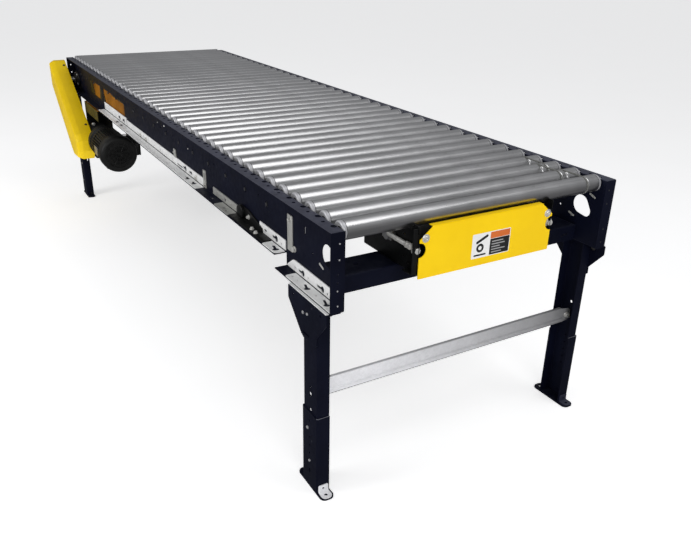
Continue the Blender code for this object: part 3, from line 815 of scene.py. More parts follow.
def threaded(a, b, r, at, axis=(0, 1, 0), pitch=2.0):
    """A screw: rings of thread between two heights."""
    prof = [(0, a), (r - 0.8, a)]
    z = a + 0.6
    while z < b - 0.6:
        prof += [(r - 0.7, z), (r, z + pitch * 0.45)]
        z += pitch
    prof += [(r - 0.9, b), (0, b)]
    return lathe(prof, 16, axis, at)


def hull2(c1, r1, c2, r2, n=44):
    """Outline round two circles."""
    out = []
    for i in range(n):
        a = 2 * pi * i / n
        d = (cos(a), sin(a))
        s1 = c1[0] * d[0] + c1[1] * d[1] + r1
        s2 = c2[0] * d[0] + c2[1] * d[1] + r2
        c, r = (c1, r1) if s1 >= s2 else (c2, r2)
        out.append((c[0] + r * d[0], c[1] + r * d[1]))
    return out


def sym(x):
    """Mirror across the bed."""
    return W - x


# ================================================================ channels
def c_fold(depth):
    ri = 2.2
    r = ri + T / 2
    flat = FL - ri - T
    web = depth - 2 * (ri + T)
    return Fold((0, -T / 2), 0, [("L", flat), ("B", -90, r), ("L", web), ("B", -90, r), ("L", flat)])


def c_place(side):
    if side < 0:
        return lambda a, b, v: (a, v, b)
    return lambda a, b, v: (W - a, v, b)


def u_web(fold, z):
    """u of a point on the web at height z."""
    s = fold.seg[2]
    return s[1] + (s[3][1] - z)


def u_top(x):
    return x


def u_low(fold, x):
    s = fold.seg[4]
    return s[1] + (s[3][0] - x)


WINDOWS = ((1960, 2360), (2400, 2640))
PRESSURE_Y = [426 + 152.4 * i for i in range(17)]
DRIVE_Y, DRIVE_Z, TAIL_Y, TAIL_Z = 2965.0, -104.4, 130.0, -85.35


def channel(side):
    name = "left" if side < 0 else "right"
    place = c_place(side)
    bag = Bag()
    # tail length
    fold = c_fold(D_TAIL)
    y0, y1 = 2.9, TAIL - 0.3
    holes = [[(u_web(fold, b), a) for a, b in hull2((79, -90), 28, (58, -104), 17.5)]]
    for y, z in ((41, -54), (108, -128)):
        holes.append([(u_web(fold, b), a) for a, b in stadium(y, z, 25, 6.6, radians(20))])
    holes.append([(u_web(fold, b), a) for a, b in circle(155, -112, 3.2, 14)])
    holes.append([(u_web(fold, b), a) for a, b in stadium(196, -65, 24, 6, pi / 2)])
    for i in range(4):
        y = PITCH * (i + 0.5)
        # oval over each axle, beside the top bend
        holes.append(stadium(28.4, y, 17, 14.6, pi / 2))
        if i < 3:
            holes.append(circle(21.5, PITCH * (i + 1), 4.6, 18))
    outline = [(0, y0), (fold.u, y0), (fold.u, y1), (0, y1)]
    bag.add(sheet(fold, outline, holes, T, place))
    # bed length
    fold = c_fold(D_BED)
    y0, y1 = TAIL + 0.3, L - 2.9
    holes = []
    for i in range(4, 40):
        y = PITCH * (i + 0.5)
        holes.append(stadium(28.4, y, 17, 14.6, pi / 2))
        holes.append(circle(21.5, PITCH * i + (10 if i == 4 else 0), 4.6, 18))
    for y in PRESSURE_Y:
        if side < 0 and any(a - 20 < y < b + 20 for a, b in WINDOWS):
            continue
        holes.append([(u_web(fold, b), a) for a, b in circle(y, -67, 8.5, 20)])
    if side < 0:
        for a, b in WINDOWS:
            loop = rounded([(a, -128), (b, -128), (b, -62), (a, -62)], 14, 6)
            holes.append([(u_web(fold, q), p) for p, q in loop])
    holes.append([(u_web(fold, DRIVE_Z + 22 * sin(a)), DRIVE_Y + 22 * cos(a))
                  for a in [2 * pi * i / 36 for i in range(36)]])
    for y in (1093, 1179 + 76.2, 1331, 1407, 755 + 76.2, 480):
        holes.append([(u_web(fold, b), a) for a, b in circle(y, -57, 3.6, 14)])
    for i in range(9):
        y = 520 + 300 * i
        holes.append([(u_low(fold, a), b) for a, b in circle(19, y, 5, 16)])
    outline = [(0, y0), (fold.u, y0), (fold.u, y1), (0, y1)]
    bag.add(sheet(fold, outline, holes, T, place))
    # end strips, rounded at the lower corners
    for ya, yb, depth in ((0.0, 2.7, D_TAIL), (L - 2.7, L, D_BED)):
        rect = [(0.3, -depth + 0.1), (FL - 0.1, -depth + 0.1), (FL - 0.1, -0.1), (0.3, -0.1)]
        loop = rounded(rect, [7, 3, 1.5, 2.5], 5)
        if side > 0:
            loop = [(W - a, b) for a, b in loop]
        zs = (-106, -126) if ya < 1 else (-40, -80, -120)
        hs = [circle(19 if side < 0 else W - 19, z, 3.2, 14) for z in zs]
        bag.add(flat_plate(loop, hs if side < 0 or ya > 1 else [], "XZ", ya, yb))
    ob = bag.piece(name + "_channel", "bed", [NAVY, NAVY_LIT_TOP],
                   [name + "_side_channel"])
    # painted light: the up-facing flange tops take a lighter, bluer copy of the navy, standing in for light
    # falling on them, with a little dust as well
    me = ob.data
    lit_top_z = ORIGIN[2] - 0.0009
    for p in me.polygons:
        if p.normal.z > 0.6 and p.center.z > lit_top_z:
            p.material_index = 1
    return ob


channel(-1)
channel(1)

# hexagonal axle ends standing through the webs
for side, name in ((-1, "left"), (1, "right")):
    bag = Bag()
    for i in range(40):
        y = PITCH * (i + 0.5)
        r = 11.1 / 2 / cos(pi / 6)
        a, b = 29.5, 38.1 + 17.6
        prof = [(0, 0), (r - 0.9, 0), (r, 0.9), (r, b - a - 0.9), (r - 0.9, b - a), (0, b - a)]
        x = a if side < 0 else W - a
        bag.add(lathe(prof, 6, (-side, 0, 0), (x, y, ROLL_Z), pi / 6))
    bag.piece(name + "_axle_ends", "bed", [AXLE], angle=25)


# ================================================================ rollers
GROOVE_A, GROOVE_B, GROOVE_R = 819.0, 797.0, 20.9
GROOVES = {0: (GROOVE_A,), 1: (GROOVE_A, GROOVE_B), 2: (GROOVE_A, GROOVE_B), 3: (GROOVE_A,)}
R_LO, R_HI = 41.1, W - 41.1
MIDX = W / 2


def roller_profile(grooves):
    """(radius, x from the roller's middle) down the outside, then the ends."""
    h = (R_HI - R_LO) / 2
    pts = []
    pts += [(6.9, h - 13), (6.9, h - 2.4), (7.4, h - 1.9), (10.3, h - 1.9), (11.0, h - 2.8),
            (14.8, h - 2.8), (15.6, h - 1.6), (18.4, h - 0.9)]
    cr = 4.6
    for j in range(8):
        a = pi / 2 * j / 7
        pts.append((ROLL_R - cr + cr * sin(a), h - cr + cr * cos(a)))
    pts += [(ROLL_R, h - cr - 1.2), (ROLL_R, h - 9.0), (ROLL_R, h - 9.4), (ROLL_R, h - 11.2),
            (ROLL_R, h - 11.6)]
    inner = list(pts)
    for g in sorted(grooves, reverse=True):
        x = g - MIDX
        pts += [(ROLL_R, x + 6.4), (ROLL_R, x + 5.2), (ROLL_R - 0.5, x + 4.2)]
        for j in range(7):
            a = pi * j / 6
            pts.append((ROLL_R - 0.7 - (ROLL_R - 0.7 - GROOVE_R) * sin(a), x + 3.3 * cos(a)))
        pts += [(ROLL_R - 0.5, x - 4.2), (ROLL_R, x - 5.2), (ROLL_R, x - 6.4)]
    pts += [(r, -x) for r, x in reversed(inner)]
    return [(0, h - 13)] + pts + [(0, -h + 13)]


_shared = {}
for i in range(40):
    g = GROOVES.get(i, ())
    y = PITCH * (i + 0.5)
    at = (MIDX, y, ROLL_Z)
    key = g
    body = "roller_%02d" % (i + 1)
    if key not in _shared:
        prof = roller_profile(g)
        v, f = lathe(prof, 56, (1, 0, 0), at)
        bag = Bag()
        bag.add((v, f))
        # the pressed bearing cups are darker than the tube
        first = bag.piece(body + "_tube", body, [ROLLER, BEARING, CUP, ROLLER_END],
                          [body], origin=at)
        me = first.data
        half = (R_HI - R_LO) / 2000
        for p in me.polygons:
            r = hypot(p.center.y, p.center.z)
            if abs(p.center.x) > half - 0.0145 and r < 0.0118:
                p.material_index = 1
            elif abs(p.center.x) > half - 0.0042 and r < 0.0236:
                p.material_index = 2
            elif abs(p.center.x) > half - 0.0093:             # crimped band at the end
                p.material_index = 3
            # a narrow dark ring on the outside of the tube, beside the end band
            elif abs(p.center.x) > half - 0.0113:
                p.material_index = 1
        _shared[key] = me
        ob = first
    else:
        ob = bpy.data.objects.new(body + "_tube", _shared[key])
        ob.location = world(at)
        bpy.context.scene.collection.objects.link(ob)
        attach(ob, body)
        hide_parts(body)

# round urethane rings that link the first four rollers
bag = Bag()
for i, gx in ((0, GROOVE_A), (1, GROOVE_B), (2, GROOVE_A)):
    ya, yb = PITCH * (i + 0.5), PITCH * (i + 1.5)
    rr = GROOVE_R + 2.45
    path = []
    for j in range(17):
        a = pi / 2 + pi * j / 16
        path.append((gx, ya + rr * cos(a), ROLL_Z + rr * sin(a)))
    for j in range(17):
        a = -pi / 2 + pi * j / 16
        path.append((gx, yb + rr * cos(a), ROLL_Z + rr * sin(a)))
    bag.add(tube(path, 2.3, 12))
bag.piece("drive_rings", "bed", [ORING])


# ================================================================ zinc angles
def angle_piece(name, side, z_flange, y0, y1, top, holes_web, holes_flange, y1_web=None,
                round_near=False, mat=ZINC, x_out=0.6, slope=0.0):
    """A perforated angle inside the channel's lower corner.  holes are given as
    (y, z) on the web leg and (x, y) on the flange leg."""
    t = 2.4
    r = 1.6 + t / 2
    xw = FL - T - 0.3                                     # outer face of the web
    zf = z_flange + 0.3                                   # top of the flange
    fold = Fold((x_out, zf + t / 2), 0, [("L", xw - t - 1.6 - x_out), ("B", 90, r),
                                         ("L", top - zf - t - 1.6)], 5)
    u1 = fold.seg[0][2]
    u2 = fold.seg[2][1]
    ue = fold.u
    yw = y1_web or y1

    def uz(z):
        return u2 + (z - (zf + t + 1.6))

    def ux(x):
        return x - x_out

    near = [(0, y0 + 14), (1.5, y0 + 6), (6, y0 + 1.5), (14, y0)] if round_near else [(0, y0)]
    out = near + [(u1, y0), (u2, y0), (ue - 2, y0), (ue, y0 + 2)]
    if slope > 0:                                         # long rounded far corner
        out += [(ue, yw - slope - 8), (ue - 0.8, yw - slope + 2), (ue - 3, yw - slope + 10),
                (u2 + 8, yw - 9), (u2 + 2, yw - 2), (u2, yw), (u1, yw)]
    else:
        out += [(ue, yw - 3), (ue - 3, yw), (u2, yw), (u1, yw)]
    if abs(yw - y1) > 1:
        out += [(u1, y1)]
    out += [(3, y1), (0, y1 - 3)]
    holes = [[(uz(b), a) for a, b in h] for h in holes_web]
    holes += [[(ux(a), b) for a, b in h] for h in holes_flange]
    bag = Bag()
    lay = [p for p in out if p[0] <= u1 + 1e-6]
    std = [p for p in out if p[0] >= u2 - 1e-6]
    g = 0.4
    lay = [(min(a, u1 - g), b) for a, b in lay]
    std = [(max(a, u2 - g), b) for a, b in std]
    bag.add(sheet(fold, lay, [h for h in holes if max(p[0] for p in h) < u1], t, c_place(side)))
    bag.add(sheet(fold, std, [h for h in holes if min(p[0] for p in h) > u2], t, c_place(side)))
    return bag.piece(name, "bed", [mat])


for side, nm in ((-1, "left"), (1, "right")):
    hw = [keyhole(203, -185, 8.6, 3.6, 21), circle(174, -185.5, 3.1, 14),
          keyhole(98, -186, 8.6, 3.6, 26), circle(73, -187, 3.1, 14),
          circle(248, -185, 3.0, 14), circle(27, -186, 3.2, 14)]
    hf = [circle(15.5, 200, 3.1, 14), keyhole(14.2, 143, 8.4, 3.6, 25, radians(75)),
          circle(15.5, 98, 3.1, 14), keyhole(13.8, 41, 8.4, 3.6, 27, radians(75)),
          circle(15, 226, 3.2, 14)]
    angle_piece(nm + "_tail_angle", side, -D_TAIL + T, 5, 241, -166, hw, hf, y1_web=298,
                slope=46)
    # bed angles
    zb = -D_BED + T
    hw = [keyhole(362, -145.5, 9.8, 4.0, 22), circle(330, -148, 3.4, 14), stadium(434, -146, 20, 7, 0)]
    hf = [keyhole(15.5, 328, 10.0, 4.4, 27, radians(80))]
    angle_piece(nm + "_bed_angle_1", side, zb, 305.5, 386, -130, hw, hf, y1_web=474,
                round_near=True)
    hw = [circle(740, -148, 5.6, 18), circle(690, -149, 2.6, 14), circle(812, -149, 2.6, 14)]
    hf = [circle(15, 703, 5.2, 18), circle(10, 676, 4.6, 18)]
    angle_piece(nm + "_bed_angle_2", side, zb, 642, 756, -134, hw, hf, y1_web=846,
                mat=PLATE_ZINC)
    hw, hf = [], []
    y = 968.0
    k = 0
    while y < 2330:
        if k in (1, 2):
            hw.append(keyhole(y + 14 if k == 1 else y + 2, -146, 7.4 if k == 1 else 10.4, 4.0, 23))
            hf.append(keyhole(15.5, y - 59 if k == 1 else y - 72, 10.0 if k == 1 else 9.0, 4.2, 23,
                              radians(80)))
        elif k in (13, 14):
            hw.append(keyhole(y + 18, -145, 10.4, 4.4, 26))
            hf.append(keyhole(15.5, y - 4, 10.4, 4.4, 27, radians(80)))
        elif k == 3:
            hw.append(stadium(y - 10, -150.5, 62, 5.4, 0))
            hf.append(circle(12, y - 24, 4.6, 18))
        else:
            hw.append(circle(y, -148, 3.0, 14))
            hf.append(circle(15, y + 12, 3.0, 14))
        y += 76.2
        k += 1
    angle_piece(nm + "_bed_angle_3", side, zb, 932, 1925, -131, [h for h in hw if max(p[0] for p in h) < 1918],
                [h for h in hf if max(p[1] for p in h) < 1918])
    angle_piece(nm + "_bed_angle_4", side, zb, 1932, 2345, -124, [h for h in hw if min(p[0] for p in h) > 1940],
                [h for h in hf if min(p[1] for p in h) > 1940])

# zinc straps on the webs, slot keys and fixings
WEB_SCREWS = ((1352, -41, 3.4), (1440, -45, 2.2), (1085, -66, 2.6))
bag = Bag()
for side in (-1, 1):
    def bx(x0, x1, y0, y1, z0, z1, bev=0.5):
        if side > 0:
            x0, x1 = W - x1, W - x0
        return box((x0, y0, z0), (x1, y1, z1), bev)
    bag.add(bx(32.2, 35.1, 262, 291, -149, -50))
    xa, xb = sorted((32.2, 35.1) if side < 0 else (W - 32.2, W - 35.1))
    bag.add(flat_plate(rounded([(912, -160), (936, -160), (936, -100), (912, -100)], 2, 3),
                       [stadium(924, -122, 26, 7, pi / 2)], "YZ", xa, xb))
    bag.add(flat_plate(rounded([(1228, -132), (1252, -132), (1252, -102), (1228, -102)], 2, 3),
                       [], "YZ", xa, xb))
bag.piece("splice_straps", "bed", [PLATE_ZINC])

bag = Bag()
for side in (-1, 1):
    for y, z in ((41, -54), (108, -128)):
        loop = stadium(y, z, 24.4, 6.0, radians(20))
        x0, x1 = 34.2, 39.2
        if side > 0:
            x0, x1 = W - x1, W - x0
        bag.add(solid_loop(loop, "YZ", x0, x1, 0.5))
bag.piece("web_slot_keys", "bed", [PLATE_ZINC])

bag = Bag()
for side in (-1, 1):
    sx = 1 if side < 0 else -1

    def X(x):
        return x if side < 0 else W - x
    # strap bolts
    for y, z, r in ((254, -137, 6), (277, -62, 4.0), (924, -150, 4.0), (1240, -113, 3.0)):
        for s in hex_head((X(32.2 if y > 258 else 35.2), y, z), (-sx, 0, 0), r * 2.1, 5, 0.3,
                          r * 1.4 if y < 258 else 0):
            bag.add(s)
    # rivets on the near end strip; on the right side they take the dark oiled steel, as painted shade
    for x, z in ((23.5, -28.5), (23, -68), (19, -145.5), (20, -184.7)):
        bag.add(lathe([(0, 0), (2.2, 0), (2.1, 0.4), (1.5, 0.8), (0, 1.0)], 18, (0, -1, 0),
                      (X(x), 0.0, z)), 1 if side < 0 else 2)
    # far end strip
    for z in (-24, -62, -102, -140):
        bag.add(lathe([(0, 0), (4.0, 0), (3.8, 0.9), (2.6, 1.8), (0, 2.2)], 18, (0, 1, 0),
                      (X(20), L, z)))
    # splice bolts through the angles
    for y, z in ((1010, -149), (1620, -149), (1700, -149)):
        for s in hex_head((X(32.6), y, z), (-sx, 0, 0), 10, 4.5, 0.2, 7.5):
            bag.add(s)
    # small screws in the webs
    for y, z, r in ((WEB_SCREWS)):
        bag.add(lathe([(0, 0), (r, 0), (r, r * 0.3), (r * 0.7, r * 0.6), (0, r * 0.7)], 18,
                      (-sx, 0, 0), (X(35.2), y, z)))
bag.piece("channel_fixings", "bed", [BOLT, DULL, AXLE_OLD], angle=28)

# black hanger clamps of the return roller on the webs
bag = Bag()
hang = Bag()
for side in (-1, 1):
    sx = 1 if side < 0 else -1

    def X(x):
        return x if side < 0 else W - x
    loop = rounded([(450, -160), (640, -160), (640, -138), (612, -122), (548, -122), (450, -146)],
                   [3, 3, 8, 14, 12, 4], 5)
    x0, x1 = sorted((X(30.0), X(35.0)))
    bag.add(solid_loop(loop, "YZ", x0, x1, 0.7))
    x0, x1 = sorted((X(3.0), X(34.0)))
    bag.add(box((x0, 390, -162), (x1, 636, -157.5), 0.8))
    bag.add(lathe([(0, 0), (19.5, 0), (20, 0.6), (20, 8), (15, 11), (6, 11.5), (0, 11.5)], 32,
                  (-sx, 0, 0), (X(30), 592, -138)))
    for y, z in ((543, -141),):
        for s in hex_head((X(30), y, z), (-sx, 0, 0), 9, 5, 0.1, 7):
            hang.add(s)
    for x, y in ((15, 488), (12, 455)):
        for s in hex_head((X(x), y, -157.4), (0, 0, 1), 9, 5, 0.1, 7):
            hang.add(s)
bag.piece("return_roller_clamps", "bed", [BLACK])
hang.piece("return_clamp_bolts", "bed", [BOLT], angle=28)


# ================================================================ supports
def support(prefix, far):
    top = -(D_BED if far else D_TAIL) - 0.3

    def fy(v):
        return L - v if far else v

    for side, nm in ((-1, "left"), (1, "right")):
        sx = 1 if side < 0 else -1

        def X(x):
            return x if side < 0 else W - x

        # upper leg
        bag = Bag()
        t = T
        ri = 2.2
        r = ri + t / 2
        # section in (x, y): near flange inwards to outwards, web, far flange
        fold = Fold((29, 50 + t / 2), 180, [("L", 35 - ri - t), ("B", -90, r),
                                            ("L", 77 - 2 * (ri + t)), ("B", -90, r),
                                            ("L", 35 - ri - t)], 5)
        um = fold.seg[2][1] + (77 - 2 * (ri + t)) / 2      # middle of the web
        place = lambda a, b, v: (X(a), fy(b), v)
        z0, z1 = -660, top - 3.2
        rows = [(-540, 3.4), (-566, 3.4), (-592, 3.4), (-618, 3.4), (-644, 3.4)]
        if side < 0:
            rows += [(-451, 3.6), (-470, 6.0), (-519, 5.5), (-314, 6.5)]
        else:
            rows += [(-422, 4.6)]
        holes = [circle(um, z, rr, 18) for z, rr in rows]
        # slots of the inner flange
        uf = fold.seg[4][1] + 14.6 + 1.0
        if side < 0:
            holes += [stadium(uf, z, h, 15, pi / 2) for z, h in
                      ((-480.8, 15.2), (-501, 20), (-551.5, 20))]
        bag.add(sheet(fold, [(0, z0), (fold.u, z0), (fold.u, z1), (0, z1)], holes, t, place))
        # bracket flange and pivot plate, one formed piece
        pf = Fold((30, top - 1.6), 180, [("L", 30 + 9.5 - 3.4 - 1.5 + 0.0), ("B", 90, 1.5 + 1.6),
                                         ("L", 114 - 4.6)], 4)
        u2 = pf.seg[2][1]
        place2 = lambda a, b, v: (X(a), fy(v), b)

        def uz(v):
            return u2 + max(0.0, -v - 4.6)
        prof = [(204, -3), (204, -36.5), (127 + 4, -108), (118, -114), (59, -114), (50 - 1, -106),
                (50, -85), (2, -29), (2, -3)]
        out = [(0, 2), (0, 204)] + [(pf.seg[1][1], 204), (u2, 204)]
        out += [(uz(z), y) for y, z in prof[1:-1]]
        out += [(u2, 2), (pf.seg[1][1], 2)]
        hs = [[(uz(b), a) for a, b in stadium(105, -98, 34, 7, 0)],
              [(uz(b), a) for a, b in circle(30, -14, 4, 14)],
              [(uz(b), a) for a, b in circle(176, -18, 4, 14)],
              [(a, b) for a, b in circle(14, 24, 5, 16)], [(a, b) for a, b in circle(14, 182, 5, 16)]]
        bag.add(sheet(pf, out, hs, 3.2, place2))
        bag.piece("%s_%s_upper_leg" % (prefix, nm), "bed", [NAVY, NAVY_LIT_TOP],
                  [prefix + "_leg_frame"])

        # bright shim strip between channel and bracket
        bag = Bag()
        x0, x1 = sorted((X(-9.0), X(-0.6)))
        ya, yb = sorted((fy(4), fy(202)))
        bag.add(box((x0, ya, top + 0.05), (x1, yb, top + 1.7), 0.3, 1))
        bag.piece("%s_%s_shim" % (prefix, nm), "bed", [ZINC])

        # fixings of the upper leg
        bag = Bag()
        for y, z, af in ((119, top - 43, 8.0), (96, top - 38, 7.0)):
            for s in hex_head((X(-9.6), fy(y), z), (-sx, 0, 0), af, 2.6, 0.25):
                bag.add(s, 1)
        for y in (24, 182):
            for s in nut_and_tip((X(15), fy(y), top - 3.4), (0, 0, -1), 13, 6, 4, 4.2, 8.5):
                bag.add(s, 1)
        # on the right side the nuts take dark chain steel, as painted shade
        bag.piece("%s_%s_pivot_bolts" % (prefix, nm), "bed", [BOLT, DULL if side < 0 else CHAIN],
                  angle=28)

        # lower leg: wraps the upper one, with foot plate
        bag = Bag()
        g = 0.3
        xo = -6 - g - t                                    # outer face
        fold = Fold((29, 50 - g - t / 2), 180, [("L", 29 - xo - ri - t), ("B", -90, r),
                                                ("L", 77 + 2 * (g + t) - 2 * (ri + t)),
                                                ("B", -90, r), ("L", 29 - xo - ri - t)], 5)
        um = fold.seg[2][1] + (fold.seg[2][2] - fold.seg[2][1]) / 2
        z0, z1 = -765.2, -526
        rows = [(-553, 3.4), (-605, 3.4), (-631, 3.4), (-657, 3.4)]
        holes = [circle(um, z, rr, 18) for z, rr in rows]
        uf = fold.seg[4][1] + 15.6 + 1.0
        if side < 0:
            holes.append(stadium(um, -716, 15, 9.6, pi / 2))
            holes += [stadium(uf, z, h, 16, pi / 2) for z, h in ((-554, 20), (-755, 17))]
        bag.add(sheet(fold, [(0, z0), (fold.u, z0), (fold.u, z1), (0, z1)], holes, t, place))
        mid = 88.5
        fx0, fx1 = xo, xo + 40
        loop = rounded([(fx0, mid - 73.5), (fx1, mid - 73.5), (fx1, mid + 73.5), (fx0, mid + 73.5)],
                       15, 7)
        holes = [circle(fx0 + 19, mid - 60, 5.6, 20), circle(fx0 + 19, mid + 60, 5.6, 20)]
        loop = [(X(a), fy(b)) for a, b in loop]
        holes = [[(X(a), fy(b)) for a, b in h] for h in holes]
        bag.add(flat_plate(loop, holes, "XY", -770.0, -765.3))
        # fillet welds at the foot
        for ya in (50 - g - t - 1.8, 127 + g + t + 1.8):
            bag.add(tube([(X(x), fy(ya), -764.4 + 0.4 * sin(x * 1.3)) for x in
                          [xo + 2 + 1.6 * i for i in range(18)]], 2.1, 8, False))
        ob = bag.piece("%s_%s_leg_lower" % (prefix, nm), "%s_%s_lower_leg" % (prefix, nm),
                       [NAVY, EDGE], ["%s_%s_lower_leg" % (prefix, nm)])
        cut = ORIGIN[2] + z1 * 0.001 - 0.0004               # bare saw cut at the top, kept only on the near flange, where it is also a painted highlight; the web's cut stays navy
        for q in ob.data.polygons:
            v = (q.center.y - ORIGIN[1]) * 1000
            if q.center.z > cut and (L - v if far else v) < 54:
                q.material_index = 1

        # tab at the near end of the foot: on the left it is bright zinc, a painted highlight for a glint on the
        # foot; on the right it takes the lit navy, painted light
        bag = Bag()
        yn = 50 - g - t
        tf = Fold((yn - 31, -765.3 + 1.3), 0, [("L", 31 - 2.6 - 1.2), ("B", 90, 2.5), ("L", 20)], 4)
        hs = [circle(14, fx0 + 19, 5.0, 18), circle(tf.u - 11, fx0 + 19, 3.4, 16)]
        out = rounded([(0, fx0 + 4), (tf.u, fx0 + 5), (tf.u, fx1 - 6), (0, fx1 - 5)],
                      [12, 4, 4, 12], 5)
        bag.add(sheet(tf, out, hs, 2.4, lambda a, b, v: (X(v), fy(a), b)))
        bag.piece("%s_%s_foot_tab" % (prefix, nm), "%s_%s_lower_leg" % (prefix, nm),
                  [BRACE_ZINC_PAINTED_LIGHT if side < 0 else NAVY_LIT_TOP])

        # clamp bolts of the telescope: heads outside
        bag = Bag()
        for y, z, af in ((88.5 + 9, -579, 8.6), (88.5 - 2, -680, 6.6)):
            for s in hex_head((X(xo), fy(y), z), (-sx, 0, 0), af, 3.2, 0.4):
                bag.add(s)
        # on the right side the heads take dark chain steel, as painted shade
        bag.piece("%s_%s_clamp_bolts" % (prefix, nm), "%s_%s_lower_leg" % (prefix, nm),
                  [DULL if side < 0 else CHAIN],
                  angle=28)

    # cross brace, formed with two lips, and rounded end tabs
    bag = Bag()
    t = 2.2
    # section in (y, z): top lip back, face and bottom lip back,
    # with a bead rolled along the lower part of the face
    fold = Fold((86 + 10, -436 - t / 2), 180, [("L", 10 - 3.2), ("B", 90, 3.2 - t / 2),
                                               ("L", 29.6), ("B", -50, 2.2), ("L", 3.2),
                                               ("B", 100, 2.2), ("L", 3.2), ("B", -50, 2.2),
                                               ("L", 52 - 2 * 3.2 - 29.6 - 10.85),
                                               ("B", 90, 3.2 - t / 2), ("L", 20 - 3.2 - 0.2)], 6)
    x0, x1 = -2.9, W + 2.9
    f0, f1 = fold.seg[2][1], fold.seg[8][2]
    out = [(0, x0 + 40), (f0 - 2, x0 + 40), (f0 + 3, x0 + 9), (f0 + 9, x0 + 1), (f0 + 14, x0),
           (f1 - 14, x0), (f1 - 9, x0 + 1), (f1 - 3, x0 + 9), (f1 + 2, x0 + 40), (fold.u, x0 + 40),
           (fold.u, x1 - 40), (f1 + 2, x1 - 40), (f1 - 3, x1 - 9), (f1 - 9, x1 - 1), (f1 - 14, x1),
           (f0 + 14, x1), (f0 + 9, x1 - 1), (f0 + 3, x1 - 9), (f0 - 2, x1 - 40), (0, x1 - 40)]
    um = (f0 + f1) / 2
    hs = [circle(um, x0 + 16, 5, 18), circle(um, x1 - 16, 5, 18)]
    bag.add(sheet(fold, out, hs, t, lambda a, b, v: (v, fy(a), b)))
    ob = bag.piece(prefix + "_cross_brace", "bed", [BRACE_ZINC_PAINTED_LIGHT, CHAIN],
                   [prefix + "_leg_frame"])
    low = ORIGIN[2] - 0.4846                                # painted shade: the lower bend takes the dark chain steel, standing in for shade along the bottom of the brace
    for q in ob.data.polygons:
        if q.center.z < low:
            q.material_index = 1
    bag = Bag()
    for x in (x0 + 16, x1 - 16):
        d = 1 if not far else -1
        for s in hex_head((x, fy(85.9), -462), (0, -d, 0), 14, 6, 0.3, 9):
            bag.add(s)
    bag.piece(prefix + "_brace_bolts", "bed", [BOLT], angle=28)


support("near", False)
support("far", True)

# ================================================================ tail end
# cross member: inverted channel
bag = Bag()
t = 2.8
zt, zb = -155.6, -203.0
fold = Fold((85 + t / 2, zb), 90, [("L", zt - zb - 3 - t), ("B", -90, 3 + t / 2),
                                   ("L", 102 - 2 * (3 + t)), ("B", -90, 3 + t / 2),
                                   ("L", zt - zb - 3 - t)], 6)
um = fold.seg[2][1] + (fold.seg[2][2] - fold.seg[2][1]) / 2
hs = [circle(um, x, 7, 20) for x in (90, 150, W - 150, W - 90)]
hs += [stadium(fold.seg[0][1] + 22, x, 22, 7, pi / 2) for x in (75, W - 75)]
bag.add(sheet(fold, [(0, 38.5), (fold.u, 38.5), (fold.u, W - 38.5), (0, W - 38.5)], hs, t,
              lambda a, b, v: (v, a, b)))
bag.piece("tail_crossmember", "bed", [NAVY], ["tail_cross_member"])

# take-up trough: sides with slots, floor, stiffening lips
A, B = MIDX - 217, MIDX + 217
bag = Bag()
t = 2.8
fold = Fold((A + t / 2, -48), -90, [("L", 107.3 - 3 - t), ("B", 90, 3 + t / 2),
                                    ("L", 434 - 2 * (3 + t)), ("B", 90, 3 + t / 2),
                                    ("L", 107.3 - 3 - t)], 6)
slot = [(95, -71.4), (200, -71.4), (200, -99.3), (95, -99.3)]
hs = []
for s in (0, 1):
    for loop in (rounded(slot, 5, 4), circle(60, -64, 3.2, 14), circle(60, -120, 3.2, 14),
                 circle(224, -64, 3.2, 14), circle(224, -120, 3.2, 14),
                 stadium(30, -132, 20, 6, 0)):
        if s == 0:
            hs.append([(-48 - b, a) for a, b in loop])
        else:
            hs.append([(fold.u - (-48 - b), a) for a, b in loop])
mid = fold.u / 2
hs += [stadium(mid + d, 120, 60, 40, pi / 2) for d in (-130, 0, 130)]
bag.add(sheet(fold, [(0, -2.8), (fold.u, -2.8), (fold.u, 245), (0, 245)], hs, t,
              lambda a, b, v: (a, v, b)))
# front tabs of the side plates that carry the screws
bag.add(box((A - 16, -1.5, -150), (A - 0.2, 1.5, -30), 0.6))
bag.add(box((A - 16, 1.5, -150), (A - 0.2, 40, -147), 0.6))
bag.add(box((B + 0.2, 10, -98), (B + 15, 13, -64), 0.6))
for x0, x1 in ((A - 2.6, A - 0.1), (B + 0.1, B + 2.6)):
    loop = rounded([(-1.5, -47), (70, -47), (118, -56), (118, -36), (60, -24), (-1.5, -24)],
                   [1, 6, 4, 6, 8, 2], 4)
    bag.add(flat_plate(loop, [circle(30, -36, 4, 14), circle(86, -43, 4, 14)], "YZ", x0, x1))
bag.piece("takeup_trough", "bed", [BLACK], ["takeup_frame"])

# weld beads along the front of the trough
bag = Bag()
for x in (A - 1.2, B + 1.2):
    bag.add(tube([(x + 0.3 * sin(i * 1.7), 1.8, -140 + 2.2 * i) for i in range(42)], 1.6, 7, False))
bag.piece("trough_welds", "bed", [BLACK])

# axle with slide blocks
bag = Bag()
bag.add(lathe([(0, 0), (11.6, 0), (12.4, 0.8), (12.4, 449.2), (11.6, 450), (0, 450)], 32,
              (1, 0, 0), (A - 8, TAIL_Y, TAIL_Z)))
for xc in (A + 1.5, B - 1.5):
    bag.add(box((xc - 7, TAIL_Y - 20, TAIL_Z - 13.6), (xc + 7, TAIL_Y + 20, TAIL_Z + 13.6), 1.0))
    s = -1 if xc < MIDX else 1
    bag.add(lathe([(0, 0), (16, 0), (16, 2.0), (14, 3.4), (0, 3.4)], 28, (s, 0, 0),
                  (xc + s * 6.9, TAIL_Y, TAIL_Z)))
bag.piece("takeup_axle_and_blocks", "takeup_carriage", [STEEL], ["takeup_axle"])

